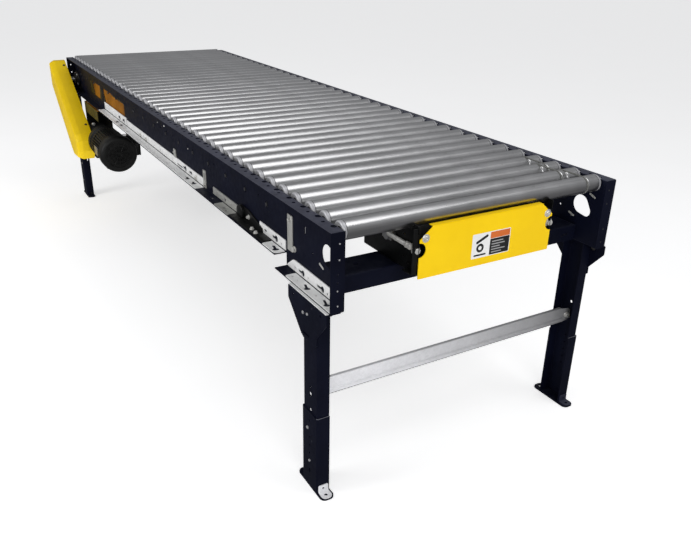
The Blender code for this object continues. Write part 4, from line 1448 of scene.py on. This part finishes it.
# take-up screws: threaded rod, nuts and the large heads at the front
bag = Bag()
for xs, xh in ((A - 8, A - 1.0), (B + 8, B + 1.0)):
    bag.add(threaded(14, 118, 5.6, (xs, 0, -81)))
    for y in (16, 30):
        for s in hex_head((xs, y, -81), (0, 1, 0), 16, 7, 0.4):
            bag.add(s)
    # flanged head by the notch of the guard
    bag.add(lathe([(0, -3), (11.5, -3), (12.2, -2), (12.2, 0.5), (10.2, 1.4), (10.2, 3), (0, 3)], 32,
                  (0, -1, 0), (xh, 6.5, -88)))
    for s in hex_head((xh, 3.6, -88), (0, -1, 0), 15, 6.4, 0.2):
        bag.add(s)
    bag.add(threaded(6, 94, 5.0, (xh, 0, -88)))
bag.piece("takeup_screws", "bed", [BOLT], angle=30)

# tail pulley: crowned tube on two discs with hubs
bag = Bag()
prof = []
half = 203.2
R = 44.45
n = 14
for i in range(n + 1):
    x = half - 2 * half * i / n
    prof.append((R - 0.5 + 0.5 * (1 - (x / half) ** 2), x))
prof = ([(13.8, half - 6), (17.5, half - 0.6), (17.5, half - 4), (24, half - 7), (36, half - 7),
         (38.5, half - 1.5), (39.5, half - 0.3), (R - 1.2, half)] + prof +
        [(R - 1.2, -half), (39.5, -half + 0.3), (38.5, -half + 1.5), (36, -half + 7),
         (24, -half + 7), (17.5, -half + 4), (17.5, -half + 0.6), (13.8, -half + 6)])
bag.add(lathe(prof, 72, (1, 0, 0), (MIDX, TAIL_Y, TAIL_Z)))
bag.piece("tail_pulley_drum", "tail_pulley", [STEEL], ["tail_pulley"],
          origin=(MIDX, TAIL_Y, TAIL_Z))

# yellow guard: front plate with chamfered corners, half round reliefs and a
# folded top lip
G0, G1 = MIDX - 216, MIDX + 216
GT, GB = -27.0, -162.0
bag = Bag()
t = 1.9
gf = Fold((11, GT - t / 2), 180, [("L", 16.3 - 2.4 - 0.0), ("B", 90, 2.4 - t / 2 + 0.0),
                                  ("L", GT - GB - 2.4)], 5)
u1, u2, ue = gf.seg[1][1], gf.seg[2][1], gf.u


def ug(z):
    return u2 + (GT - 2.4 - z)


relief = 19.5
lf = []
for i in range(13):
    a = pi / 2 - pi * i / 12
    lf.append((ug(-86 + relief * sin(a)), G0 + relief * cos(a)))
rt = [(u, W - x) for u, x in lf]
ch = 32
out = ([(0, G0 + ch + 4), (u1, G0 + ch + 4), (u2, G0 + ch + 3.8), (ug(GT - ch), G0)] + lf +
       [(ue - 1.5, G0), (ue, G0 + 1.5), (ue, G1 - 1.5), (ue - 1.5, G1)] + rt[::-1] +
       [(ug(GT - ch), G1), (u2, G1 - ch - 3.8), (u1, G1 - ch - 4), (0, G1 - ch - 4)])
bag.add(sheet(gf, out, [], t, lambda a, b, v: (v, a, b)))
bag.piece("tail_guard_plate", "bed", [YELLOW], ["tail_guard"])

bag = Bag()
for x in (258.0, W - 258.0):
    bag.add(lathe([(0, 0), (10.8, 0), (10.8, 1.3), (10.0, 1.8), (0, 1.8)], 32, (0, -1, 0),
                  (x, -5.2, -56)))
    bag.add(lathe([(0, 0), (7.4, 0), (7.2, 2.0), (6.0, 3.4), (3.4, 3.9), (3.1, 1.6), (0, 1.6)], 28,
                  (0, -1, 0), (x, -6.9, -56)))
bag.piece("guard_bolts", "bed", [BOLT], angle=30)

# plain label: panels and bars only, no lettering
bag = Bag()
yl = -5.35
LX0, LX1, LZ0, LZ1 = 405.0, 531.0, -141.0, -74.0
mx = 464.0


def panel(x0, x1, z0, z1, d, mat, r=2.0):
    loop = rounded([(x0, z0), (x1, z0), (x1, z1), (x0, z1)], r, 3)
    bag.add(solid_loop(loop, "XZ", yl - d, yl + 0.25, 0.05), mat)


panel(LX0, LX1, LZ0, LZ1, 0.10, 0, 3)
panel(mx, LX1 - 2, LZ0 + 2, LZ1 - 21, 0.20, 1, 1.5)
panel(mx, LX1 - 2, LZ1 - 20, LZ1 - 2, 0.20, 2, 1.5)
for i, (a, b) in enumerate(((6, 44), (6, 50), (6, 34), (6, 52), (6, 40))):
    z = LZ1 - 29 - i * 7.4
    panel(mx + a, mx + b, z - 1.5, z + 1.5, 0.30, 3, 0.8)
# plain pictogram: a roller and a bar over it
bag.add(solid_loop(circle(432, -114, 12, 24), "XZ", yl - 0.22, yl + 0.2, 0.05), 1)
bag.add(solid_loop(circle(432, -114, 5.5, 20), "XZ", yl - 0.32, yl + 0.2, 0.05), 0)
bag.add(solid_loop(stadium(437, -91, 42, 7.5, radians(24)), "XZ", yl - 0.22, yl + 0.2, 0.05), 1)
bag.add(solid_loop(stadium(433, -133, 40, 4.5, 0), "XZ", yl - 0.22, yl + 0.2, 0.05), 1)
bag.piece("guard_label", "bed", [LABEL_WHITE, LABEL_BLACK, LABEL_ORANGE, LABEL_GREY],
          smooth=False)

# ================================================================ belt
def belt_path(extra, n=40):
    (ya, za, ra), (yb, zb_, rb) = ((TAIL_Y, TAIL_Z, 44.45 + extra), (DRIVE_Y, DRIVE_Z, 63.5 + extra))
    d = hypot(yb - ya, zb_ - za)
    base = atan2(zb_ - za, yb - ya)
    off = atan2(rb - ra, sqrt(d * d - (rb - ra) ** 2))
    up, down = base + off + pi / 2, base - off - pi / 2
    pts = []
    for i in range(n + 1):
        a = up + (down - up) * i / n
        pts.append((yb + rb * cos(a), zb_ + rb * sin(a)))
    end = (ya + ra * cos(down), za + ra * sin(down))
    start = pts[-1]
    for i in range(1, 24):
        k = i / 24
        pts.append((start[0] + (end[0] - start[0]) * k, start[1] + (end[1] - start[1]) * k))
    for i in range(n + 1):
        a = down + (up - 2 * pi - down) * i / n
        pts.append((ya + ra * cos(a), za + ra * sin(a)))
    start = pts[-1]
    end = (yb + rb * cos(up), zb_ + rb * sin(up))
    for i in range(1, 24):
        k = i / 24
        pts.append((start[0] + (end[0] - start[0]) * k, start[1] + (end[1] - start[1]) * k))
    return pts


bag = Bag()
bag.add(band(belt_path(3.3), belt_path(0.3), MIDX - 190.5, MIDX + 190.5))
bag.piece("belt", "bed", [BELT], ["drive_belt"])

# belt lacing: two rows of small hooks and a pin on the lower run
bag = Bag()
pa, pb = belt_path(3.3), belt_path(0.3)
i0 = 41 + 12
y0, z0 = pa[i0]
y1, z1 = pb[i0]
for k in range(46):
    x = MIDX - 186 + 8.2 * k
    bag.add(box((x, y0 - 12, z0 - 0.9), (x + 3.6, y0 + 12, z0 + 0.6), 0.35, 1))
bag.add(rod(1.4, MIDX - 189, MIDX + 189, (None, y0, z0 - 0.2), 10, 0.3))
bag.piece("belt_lacing", "bed", [BOLT])

# pressure rollers under the carrying run, and two return rollers
bag = Bag()
for y in PRESSURE_Y:
    r = 24.6
    z = -67.0
    h = 828.0
    bag.add(lathe([(0, 0), (8, 0), (8.4, 1.6), (16, 1.6), (17, 0.8), (21.6, 0.8), (23.4, 0),
                   (r, 1.2), (r, h - 1.2), (23.4, h), (21.6, h - 0.8), (17, h - 0.8),
                   (16, h - 1.6), (8.4, h - 1.6), (8, h), (0, h)], 36, (1, 0, 0),
                  (MIDX - h / 2, y, z)))
for y in (612.0, 1520.0):
    zb_ = -133.1 - 38.1 * (y - TAIL_Y) / (DRIVE_Y - TAIL_Y) - 0.4
    r = 19.0
    h = 820.0
    bag.add(lathe([(0, 0), (8, 0), (8.4, 1.2), (16, 1.2), (17.6, 0), (r, 1.0), (r, h - 1.0),
                   (17.6, h), (16, h - 1.2), (8.4, h - 1.2), (8, h), (0, h)], 32, (1, 0, 0),
                  (MIDX - h / 2, y, zb_ - r)))
bag.piece("idler_rollers", "bed", [RETURN])
bag = Bag()
for y in PRESSURE_Y:
    bag.add(lathe([(0, 0), (5.2, 0), (6, 0.8), (6, W - 66.8), (5.2, W - 66), (0, W - 66)], 6,
                  (1, 0, 0), (33.0, y, -67.0), pi / 6))
for y in (612.0, 1520.0):
    zb_ = -133.1 - 38.1 * (y - TAIL_Y) / (DRIVE_Y - TAIL_Y) - 0.4 - 19
    bag.add(lathe([(0, 0), (5.2, 0), (6, 0.8), (6, W - 79), (5.2, W - 78), (0, W - 78)], 6,
                  (1, 0, 0), (39.0, y, zb_), pi / 6))
bag.piece("idler_axles", "bed", [AXLE_OLD], angle=25)
bag = Bag()
for y in (612.0, 1520.0):
    zb_ = -133.1 - 38.1 * (y - TAIL_Y) / (DRIVE_Y - TAIL_Y) - 0.4 - 19
    for x0, x1 in ((38.4, 41.4), (W - 41.4, W - 38.4)):
        loop = rounded([(y - 34, -120), (y + 34, -120), (y + 20, zb_ - 14), (y - 20, zb_ - 14)], 8, 5)
        bag.add(flat_plate(loop, [circle(y - 20, -130, 3.4, 14), circle(y + 20, -130, 3.4, 14)],
                           "YZ", x0, x1))
bag.piece("return_roller_hangers", "bed", [BLACK])


# ================================================================ drive
def sprocket_loop(teeth, pitch, tip, n=6):
    """Tooth outline: round roots on the pitch circle, rounded tips."""
    rp = pitch / (2 * sin(pi / teeth))
    rr = 4.1
    out = []
    for k in range(teeth):
        c = 2 * pi * k / teeth
        for j in range(n + 1):
            a = pi * 0.5 + pi * j / n
            x, y = rp + rr * cos(a) * 1.0, -rr * sin(a) * 0 + rr * sin(pi / 2 - pi * j / n) * 1.0
            x = rp - rr * sin(pi * j / n)
            y = -rr * cos(pi * j / n)
            out.append((x * cos(c) - y * sin(c), x * sin(c) + y * cos(c)))
        # tip
        for da, r in ((0.36, rp + tip * 0.8), (0.46, rp + tip), (0.54, rp + tip), (0.64, rp + tip * 0.8)):
            q = c + 2 * pi / teeth * da
            out.append((r * cos(q), r * sin(q)))
    return out


def sprocket(bag, teeth, at, axis_sign=1, mat=0, bore=9.0):
    """A plate sprocket, axis along X."""
    loop = sprocket_loop(teeth, 12.7, 4.3)
    v, f = triangulate(loop, [circle(0, 0, bore, 24)])
    n = len(v)
    pts = [(at[0] - 3, at[1] + a, at[2] + b) for a, b in v] + \
          [(at[0] + 3, at[1] + a, at[2] + b) for a, b in v]
    faces = [tuple(x) for x in f] + [(a + n, c + n, b + n) for a, b, c in f]
    seen = {}
    for a, b, c in f:
        for e in ((a, b), (b, c), (c, a)):
            k = (min(e), max(e))
            seen[k] = None if k in seen else e
    for e in seen.values():
        if e is not None:
            a, b = e
            faces.append((b, a, a + n, b + n))
    bag.add((pts, faces), mat)


bag = Bag()
half = 203.2
R = 63.5
prof = [(R - 6.2, half - 0.5), (R - 5, half), (R - 0.8, half), (R, half - 0.8)]
# lagging grooves
x = half - 20
while x > -half + 20:
    prof += [(R, x + 3), (R - 1.2, x + 2), (R - 1.2, x - 2), (R, x - 3)]
    x -= 26
prof += [(R, -half + 0.8), (R - 0.8, -half), (R - 5, -half), (R - 6.2, -half + 0.5)]
shaft = [(R - 6.2, -8), (34, -6), (30, -24), (22, -26), (22, -30), (12.5, -30)]
end_l = -44 - 12 - MIDX
end_r = W - FL - 8 - MIDX
full = ([(0, end_r), (11.8, end_r), (12.5, end_r - 0.8), (12.5, 30), (22, 30), (22, 26), (30, 24),
         (34, 6), (R - 6.2, 8)] + prof + shaft + [(12.5, end_l + 0.8), (11.8, end_l), (0, end_l)])
bag.add(lathe(full, 64, (1, 0, 0), (MIDX, DRIVE_Y, DRIVE_Z)))
sprocket(bag, 16, (-44.0, DRIVE_Y, DRIVE_Z), mat=0, bore=12.0)
bag.add(lathe([(12.0, 3.0), (21, 3.0), (21, 16), (20, 17), (12.0, 17)], 32, (1, 0, 0),
              (-44.0, DRIVE_Y, DRIVE_Z)))
# key
bag.add(box((-54, DRIVE_Y - 3, DRIVE_Z + 10), (-30, DRIVE_Y + 3, DRIVE_Z + 15.5), 0.4, 1))
bag.piece("drive_pulley_drum", "drive_pulley", [STEEL], ["drive_pulley"],
          origin=(MIDX, DRIVE_Y, DRIVE_Z))

# bearings of the drive shaft on both webs
bag = Bag()
for side in (-1, 1):
    sx = -1 if side < 0 else 1
    x = 35.2 if side < 0 else W - 35.2
    if side < 0:
        at = (x, DRIVE_Y, DRIVE_Z)
        bag.add(lathe([(13.4, 0), (24, 0), (41, 0.2), (42, 2), (41, 7), (30, 9), (26, 17), (24, 19),
                       (13.4, 19)], 40, (sx, 0, 0), at))
    else:
        x = W - 38.3
        at = (x, DRIVE_Y, DRIVE_Z)
        bag.add(lathe([(13.4, 0), (24, 0), (41, 0.2), (42, 2), (41, 5), (30, 7), (26, 9), (24, 10),
                       (13.4, 10)], 40, (-1, 0, 0), at))
    for a in (45, 135, 225, 315):
        y, z = DRIVE_Y + 34 * cos(radians(a)), DRIVE_Z + 34 * sin(radians(a))
        if side < 0:
            for s in hex_head((x - 6.5, y, z), (-1, 0, 0), 10, 5, 0.3):
                bag.add(s, 1)
        else:
            for s in hex_head((W - 35.2, y, z), (1, 0, 0), 10, 5, 0.3, 7.5):
                bag.add(s, 1)
bag.piece("drive_shaft_bearings", "bed", [CASTING, BOLT], angle=30)

# reducer shaft with its sprocket
OY, OZ = 2590.0, -394.0
bag = Bag()
bag.add(lathe([(0, -12), (10.2, -12), (11, -11.2), (11, 71.2), (10.2, 72), (0, 72)], 28, (1, 0, 0),
              (-44.0, OY, OZ)))
sprocket(bag, 20, (-44.0, OY, OZ), bore=10.6)
bag.add(lathe([(10.6, 3.0), (24, 3.0), (24, 17), (23, 18), (10.6, 18)], 32, (1, 0, 0), (-44.0, OY, OZ)))
bag.piece("output_shaft_sprocket", "output_sprocket", [STEEL],
          ["output_sprocket"], origin=(-44.0, OY, OZ))

# roller chain between the two sprockets
def chain_path(count):
    ra = 12.7 / (2 * sin(pi / 16))
    rb = 12.7 / (2 * sin(pi / 20))
    ya, za, yb, zb_ = DRIVE_Y, DRIVE_Z, OY, OZ
    d = hypot(yb - ya, zb_ - za)
    base = atan2(zb_ - za, yb - ya)
    off = atan2(rb - ra, sqrt(d * d - (rb - ra) ** 2))
    up, down = base + off + pi / 2, base - off - pi / 2
    dense = []
    for i in range(61):
        a = up + (down - up) * i / 60
        dense.append((yb + rb * cos(a), zb_ + rb * sin(a)))
    s = dense[-1]
    e = (ya + ra * cos(down), za + ra * sin(down))
    dense += [(s[0] + (e[0] - s[0]) * i / 80, s[1] + (e[1] - s[1]) * i / 80) for i in range(1, 80)]
    for i in range(61):
        a = down + (up - 2 * pi - down) * i / 60
        dense.append((ya + ra * cos(a), za + ra * sin(a)))
    s = dense[-1]
    e = dense[0]
    dense += [(s[0] + (e[0] - s[0]) * i / 80, s[1] + (e[1] - s[1]) * i / 80) for i in range(1, 80)]
    p = np.array(dense + [dense[0]])
    seg = np.linalg.norm(np.diff(p, axis=0), axis=1)
    cum = np.concatenate([[0], np.cumsum(seg)])
    if count is None:
        count = int(round(cum[-1] / 12.7 / 2)) * 2
    at = np.linspace(0, cum[-1], count, endpoint=False)
    return np.stack([np.interp(at, cum, p[:, 0]), np.interp(at, cum, p[:, 1])], 1)


pins = chain_path(None)
bag = Bag()
n = len(pins)
for i in range(n):
    a, b = pins[i], pins[(i + 1) % n]
    c = (a + b) / 2
    ln = float(np.linalg.norm(b - a))
    ang = atan2(b[1] - a[1], b[0] - a[0])
    w = (5.6, 7.2) if i % 2 else (3.9, 5.4)
    loop = stadium(c[0], c[1], ln + 10.6, 10.6, ang, 5)
    for s in (-1, 1):
        x0, x1 = sorted((-44 + s * w[0], -44 + s * w[1]))
        bag.add(solid_loop(loop, "YZ", x0, x1, 0.25))
    bag.add(lathe([(0, -8), (1.8, -8), (1.8, -3.8), (3.9, -3.8), (3.9, 3.8), (1.8, 3.8), (1.8, 8),
                   (0, 8)], 12, (1, 0, 0), (-44, a[0], a[1])))
bag.piece("roller_chain", "bed", [CHAIN], angle=30)

# ---- gear reducer
bag = Bag()
RX0, RX1 = -8.0, 88.0
bag.add(box((RX0, OY - 74, -448), (RX1, OY + 74, -298), 12, 4))
for y in np.linspace(OY - 58, OY + 58, 6):                 # cooling ribs on top
    bag.add(box((RX0 + 10, y - 2, -299), (RX1 - 10, y + 2, -293.5), 1.2))
for z in (-335, -365, -395, -425):
    bag.add(box((RX1 - 1, OY - 60, z - 2), (RX1 + 3.6, OY + 60, z + 2), 1.2))
# input flange and neck
bag.add(lathe([(0, 0), (77, 0), (80, 2), (80, 22), (77, 24), (56, 24), (50, 30), (44, 46), (0, 46)],
              56, (0, 1, 0), (40, 2472, -350)))
# output cover with bolts, bore side
bag.add(lathe([(12.2, -4), (29, -4), (30, -3), (30, 0), (13, 0), (12.2, 0)], 36, (1, 0, 0),
              (-8 + 0.8, OY, OZ)))
bag.add(lathe([(0, 0), (46, 0), (46, 3), (43, 5), (22, 5.4), (0, 5.4)], 44, (1, 0, 0), (RX1 - 1, OY, OZ)))
bag.piece("reducer_housing", "bed", [CASTING], ["gear_reducer"])
bag = Bag()
for k in range(6):
    a = 2 * pi * k / 6 + 0.2
    for s in hex_head((RX1 + 2.4, OY + 38 * cos(a), OZ + 38 * sin(a)), (1, 0, 0), 8, 4, 0.2):
        bag.add(s)
for k in range(4):
    a = pi / 4 + k * pi / 2
    for s in hex_head((40 + 68 * cos(a), 2496.4, -350 + 68 * sin(a)), (0, 1, 0), 13, 7, 0.2, 9.5):
        bag.add(s)
# breather and plugs
bag.add(lathe([(0, 0), (7, 0), (7, 6), (11, 7), (11.5, 12), (9, 17), (0, 18)], 24, (0, 0, 1),
              (20, OY + 30, -298)))
bag.add(lathe([(0, 0), (10, 0), (10, 5), (8, 8), (0, 8)], 6, (0, -1, 0), (14, OY - 73.6, -322)))
bag.add(lathe([(0, 0), (9, 0), (9, 4), (7, 6), (0, 6)], 6, (0, -1, 0), (66, OY - 73.6, -428)))
bag.piece("reducer_fixings", "bed", [BOLT], angle=28)

# ---- motor: finned body, end bells, fan cover with slots, terminal box
MY0, MY1, MX, MZ = 2175.0, 2471.7, 40.0, -350.0
bag = Bag()
# fan cover: turned shell with a dished grille and ring ribs
prof = [(0, 9), (9, 9), (12, 6), (16, 6), (18, 8.5), (27, 8.5), (29, 4.5), (33, 4.5), (35, 7),
        (44, 7), (46, 3), (50, 3), (52, 5), (61, 5), (63, 1.5), (68, 1.5), (74, 0.5), (80, 2.5),
        (85, 7.5), (87.6, 15), (88, 22), (88, 57), (87, 58.5), (83, 58.5), (83, 62), (0, 62)]
bag.add(lathe(prof, 72, (0, 1, 0), (MX, MY0, MZ)))
for k in range(12):                                        # radial ribs of the grille
    a = 2 * pi * k / 12
    m = Matrix.Translation((MX, MY0, MZ)) @ Matrix.Rotation(a, 4, "Y")
    bag.add(moved(box((12, 1.6, -1.6), (66, 9, 1.6), 0.6, 1), m))
# stator with fins
nf = 40
loop = []
for k in range(nf):
    a = 2 * pi * k / nf
    for da, r in ((-0.30, 72.5), (-0.16, 81.6), (0.16, 81.6), (0.30, 72.5)):
        q = a + da * 2 * pi / nf
        loop.append((MX + r * cos(q), MZ + r * sin(q)))
bag.add(flat_plate(loop, [], "XZ", MY0 + 62, MY1 - 56))
# front bell stepping down to the flange
bag.add(lathe([(0, 0), (76, 0), (78.5, 2), (78.5, 10), (70, 20), (63, 27), (64, 38), (77, 42),
               (80, 43.5), (80, 54.5), (78.8, 56), (0, 56)], 64, (0, 1, 0), (MX, MY1 - 56, MZ)))
# terminal box on a saddle
bag.add(box((MX + 66, MY0 + 126, MZ - 38), (MX + 92, MY0 + 219, MZ + 38), 3))
bag.add(box((MX + 90, MY0 + 120, MZ - 45), (MX + 124, MY0 + 225, MZ + 45), 4))
bag.add(box((MX + 124.3, MY0 + 120, MZ - 45), (MX + 133, MY0 + 225, MZ + 45), 3))
# feet lugs cast on the body
for s in (-1, 1):
    bag.add(box((MX + s * 40 - 8, MY0 + 80, MZ - 86), (MX + s * 40 + 8, MY1 - 76, MZ - 60), 3))
bag.piece("motor_body", "bed", [MOTOR], ["motor"], angle=28)
bag = Bag()
for k in range(4):
    a = pi / 4 + k * pi / 2
    # fan cover screws
    at = (MX + 88.2 * cos(a), MY0 + 44, MZ + 88.2 * sin(a))
    bag.add(lathe([(0, -3), (4.2, -3), (4.2, -0.4), (3, 0.6), (0, 0.8)], 16,
                  (cos(a), 0, sin(a)), (MX + 86.5 * cos(a), MY0 + 44, MZ + 86.5 * sin(a))))
    # through bolts at the bell
    for s in hex_head((MX + 70 * cos(a), MY1 - 34, MZ + 70 * sin(a)), (0, -1, 0), 9, 5, 0.2):
        bag.add(s)
for y in (MY0 + 130, MY0 + 215):
    for z in (MZ - 36, MZ + 36):
        bag.add(lathe([(0, 0), (4, 0), (4, 1.4), (2.6, 2.2), (0, 2.2)], 16, (1, 0, 0),
                      (MX + 130.6, y, z)))
bag.piece("motor_screws", "bed", [BOLT], angle=28)
bag = Bag()
bag.add(lathe([(0, 0), (11, 0), (11, 8), (13, 9), (13, 17), (10.5, 20), (7, 21), (6.4, 27), (0, 27)],
              8, (0, -1, 0), (MX + 108, MY0 + 120.4, MZ + 14)))
bag.piece("cable_gland", "bed", [RUBBER], angle=25)
bag = Bag()
bag.add(solid_loop(rounded([(MY0 + 98, MZ - 22), (MY0 + 98 + 62, MZ - 22), (MY0 + 98 + 62, MZ + 22),
                            (MY0 + 98, MZ + 22)], 3, 4), "YZ", MX - 84.2, MX - 81.0, 0.3))
bag.piece("motor_plate", "bed", [NAMEPLATE])

# ---- drive frame: the imported solid keeps its shape; its yellow paint is painted as amber shade, and below the channel it is black with an olive lip of painted shade
df = frame["nodes"]["drive_frame"]
df.data.materials.clear()
df.data.materials.append(AMBER_PAINTED_SHADE)
df.data.materials.append(BLACK)
df.data.materials.append(OLIVE_PAINTED_SHADE)
for p in df.data.polygons:
    z = (p.center.z - ORIGIN[2]) * 1000
    x = (p.center.x - ORIGIN[0]) * 1000
    p.material_index = (1 if x > 6 else 2) if z < -179 else 0
bag = Bag()
for y in (2420, 2660):
    for s in hex_head((20, y, -177.0), (0, 0, 1), 14, 7, 0.2, 10):
        bag.add(s)
for y in (1990, 2160, 2380, 2660):
    for x, sgn in ((41.4, 1), (W - 41.4, -1)):
        for s in hex_head((x, y, -150), (sgn, 0, 0), 14, 7, 0.2, 10):
            bag.add(s)
for y, z in ((2530, -330), (2530, -430), (2650, -330), (2650, -430)):
    for s in hex_head((93.1, y, z), (1, 0, 0), 14, 7, 0.2, 10):
        bag.add(s)
bag.piece("drive_frame_bolts", "bed", [BOLT], angle=28)


# dark plates that partly close the web windows; the thin bar along the top of the first window is painted shade
# under the top flange
bag = Bag()
loop = rounded([(2330, -126), (2440, -126), (2428, -64), (2366, -64)], 6, 5)
bag.add(solid_loop(loop, "YZ", 35.6, 38.2, 0.5))
loop = rounded([(2556, -126), (2640, -126), (2640, -64), (2604, -64)], 6, 5)
bag.add(solid_loop(loop, "YZ", 35.6, 38.2, 0.5))
loop = rounded([(1960, -70), (2150, -70), (2240, -63), (1960, -63)], 2, 3)
bag.add(solid_loop(loop, "YZ", 35.6, 38.2, 0.5))
bag.piece("drive_window_covers", "bed", [BLACK])

# ---- chain guard: a pressed shell with a broad bevel on the outer edge
def guard():
    loop = [(3056, -12), (3030, -14), (2528, -310), (2500, -345), (2500, -398), (2530, -446),
            (2640, -452), (2690, -424), (3056, -150)]
    rad = [5, 10, 6, 6, 8, 14, 16, 16, 5]
    n = 5

    def ring(d, x, grow=0.0):
        pts = inset_loop(loop, d) if d else [np.array(p, float) for p in loop]
        rr = [max(1.5, r - d * 0.35) for r in rad]
        return [(x, p[0], p[1]) for p in rounded(pts, rr, n)]

    outer = [ring(0.2, -12.2), ring(0.0, -14), ring(0.0, -66), ring(0.6, -69.5), ring(9.5, -88),
             ring(12.0, -91.5), ring(16.0, -94.0), ring(21.0, -94.8)]
    t = 1.6
    inner = [ring(21.5, -93.2), ring(16.8, -92.2), ring(13.2, -90.2), ring(10.9, -87.2),
             ring(2.2, -69.0), ring(1.6, -65.6), ring(1.6, -14), ring(1.4, -12.2)]
    rings = outer + inner
    m = len(rings[0])
    v = [p for r in rings for p in r]
    f = []
    K = len(rings)
    for k in range(K):
        if k == len(outer) - 1:
            continue
        b = (k + 1) % K
        for i in range(m):
            j = (i + 1) % m
            f.append((k * m + i, k * m + j, b * m + j, b * m + i))
    # the side plate, outside and inside
    o = (len(outer) - 1) * m
    f.append(tuple(range(o, o + m))[::-1])
    o = len(outer) * m
    f.append(tuple(range(o, o + m)))
    return v, f


bag = Bag()
bag.add(guard())
for y, z in ((3000, -60), (2900, -150)):
    pass
bag.piece("chain_guard_shell", "bed", [YELLOW_OLD], ["chain_guard"], angle=24)

# screws on the slanted face, near its bed side edge
d = np.array((2528 - 3030, -310 + 14), float)
d /= np.linalg.norm(d)
nrm = (0, d[1], -d[0])
bag = Bag()
for k, x in ((40, -26), (520, -26)):
    y, z = 3030 + d[0] * k, -14 + d[1] * k
    bag.add(lathe([(0, -1.5), (6.5, -1.5), (6.5, 0.5), (5.4, 2.4), (2.4, 3.0), (0, 3.0)], 20, nrm,
                  (x, y, z)))
bag.piece("chain_guard_screws", "bed", [LABEL_BLACK], angle=30)

# ================================================================ stage
def pale(name, a, b):
    k = Mat(name)
    n = k.noise(2.2, 4)
    c = k.mix(k.rng(n, 0.3, 0.7, 0, 1), a, b)
    return k.set(color=c, rough=0.75, metal=0.0, spec=0.25)


me = bpy.data.meshes.new("floor")
bm = bmesh.new()
bmesh.ops.create_grid(bm, x_segments=2, y_segments=2, size=60)
bm.to_mesh(me)
bm.free()
floor = bpy.data.objects.new("floor", me)
floor.location = (0, 0, -0.0006)
fm = pale("floor_pale", (0.86, 0.86, 0.86), (0.88, 0.88, 0.88))
fb = fm.node_tree.nodes["Principled BSDF"]
fb.inputs["Emission Color"].default_value = (1, 1, 1, 1)
fb.inputs["Emission Strength"].default_value = 0.53
me.materials.append(fm)
bpy.context.scene.collection.objects.link(floor)
floor.visible_glossy = False


def area(name, at, target, size, power, colour=(1, 1, 1), size_y=None):
    li = bpy.data.lights.new(name, "AREA")
    li.shape = "RECTANGLE"
    li.size = size
    li.size_y = size_y or size
    li.energy = power
    li.color = colour
    ob = bpy.data.objects.new(name, li)
    ob.location = at
    d = Vector(target) - Vector(at)
    ob.rotation_euler = d.to_track_quat("-Z", "Y").to_euler()
    bpy.context.scene.collection.objects.link(ob)
    return ob


area("key_overhead", (0.80, -2.0, 3.5), (0.62, -1.7, 0.0), 1.35, 28.5, size_y=2.8)
area("fill_front", (-1.5, -5.2, 2.4), (0, -1.2, 0.55), 2.6, 70)
area("fill_left", (-4.6, 0.2, 2.6), (0, 0.6, 0.5), 2.4, 82)

sc = bpy.context.scene
wd = sc.world or bpy.data.worlds.new("studio")
sc.world = wd
wd.use_nodes = True
nt = wd.node_tree
bg = nt.nodes.get("Background") or nt.nodes.new("ShaderNodeBackground")
geo = nt.nodes.new("ShaderNodeTexCoord")
sep = nt.nodes.new("ShaderNodeSeparateXYZ")
rmp = nt.nodes.new("ShaderNodeValToRGB")
nt.links.new(geo.outputs["Generated"], sep.inputs[0])
mr = nt.nodes.new("ShaderNodeMapRange")
mr.inputs["From Min"].default_value = -0.5
mr.inputs["From Max"].default_value = 1.0
nt.links.new(sep.outputs[2], mr.inputs["Value"])
nt.links.new(mr.outputs[0], rmp.inputs[0])
nt.links.new(rmp.outputs[0], bg.inputs[0])
e = rmp.color_ramp.elements
e[0].position, e[0].color = 0.20, (0.15, 0.15, 0.155, 1)
e[1].position, e[1].color = 0.37, (0.215, 0.215, 0.22, 1)
for pos, c in ((0.60, 0.305), (1.0, 0.385)):
    el = e.new(pos)
    el.color = (c, c * 1.01, c * 1.04, 1)
bg.inputs[1].default_value = 0.9

sc.view_settings.view_transform = "Standard"
sc.view_settings.look = "None"

# ================================================================ camera
cam = bpy.data.cameras.new("camera")
cam.sensor_width = 36.0
cam.lens = 708.34 * 36.0 / 691.0
cam.shift_x = -0.0030
cam.clip_start = 0.05
cam.clip_end = 200
co = bpy.data.objects.new("camera", cam)
fw = Vector((0.46410, 0.78252, -0.41506)).normalized()
upv = Vector((0.19310, 0.36793, 0.90958))
rt_ = fw.cross(upv).normalized()
upv = rt_.cross(fw).normalized()
m = Matrix((rt_, upv, -fw)).transposed().to_4x4()
m.translation = Vector(ORIGIN) + Vector((-709.7, -1272.7, 565.6)) * 0.001
co.matrix_world = m
bpy.context.scene.collection.objects.link(co)
bpy.context.scene.camera = co
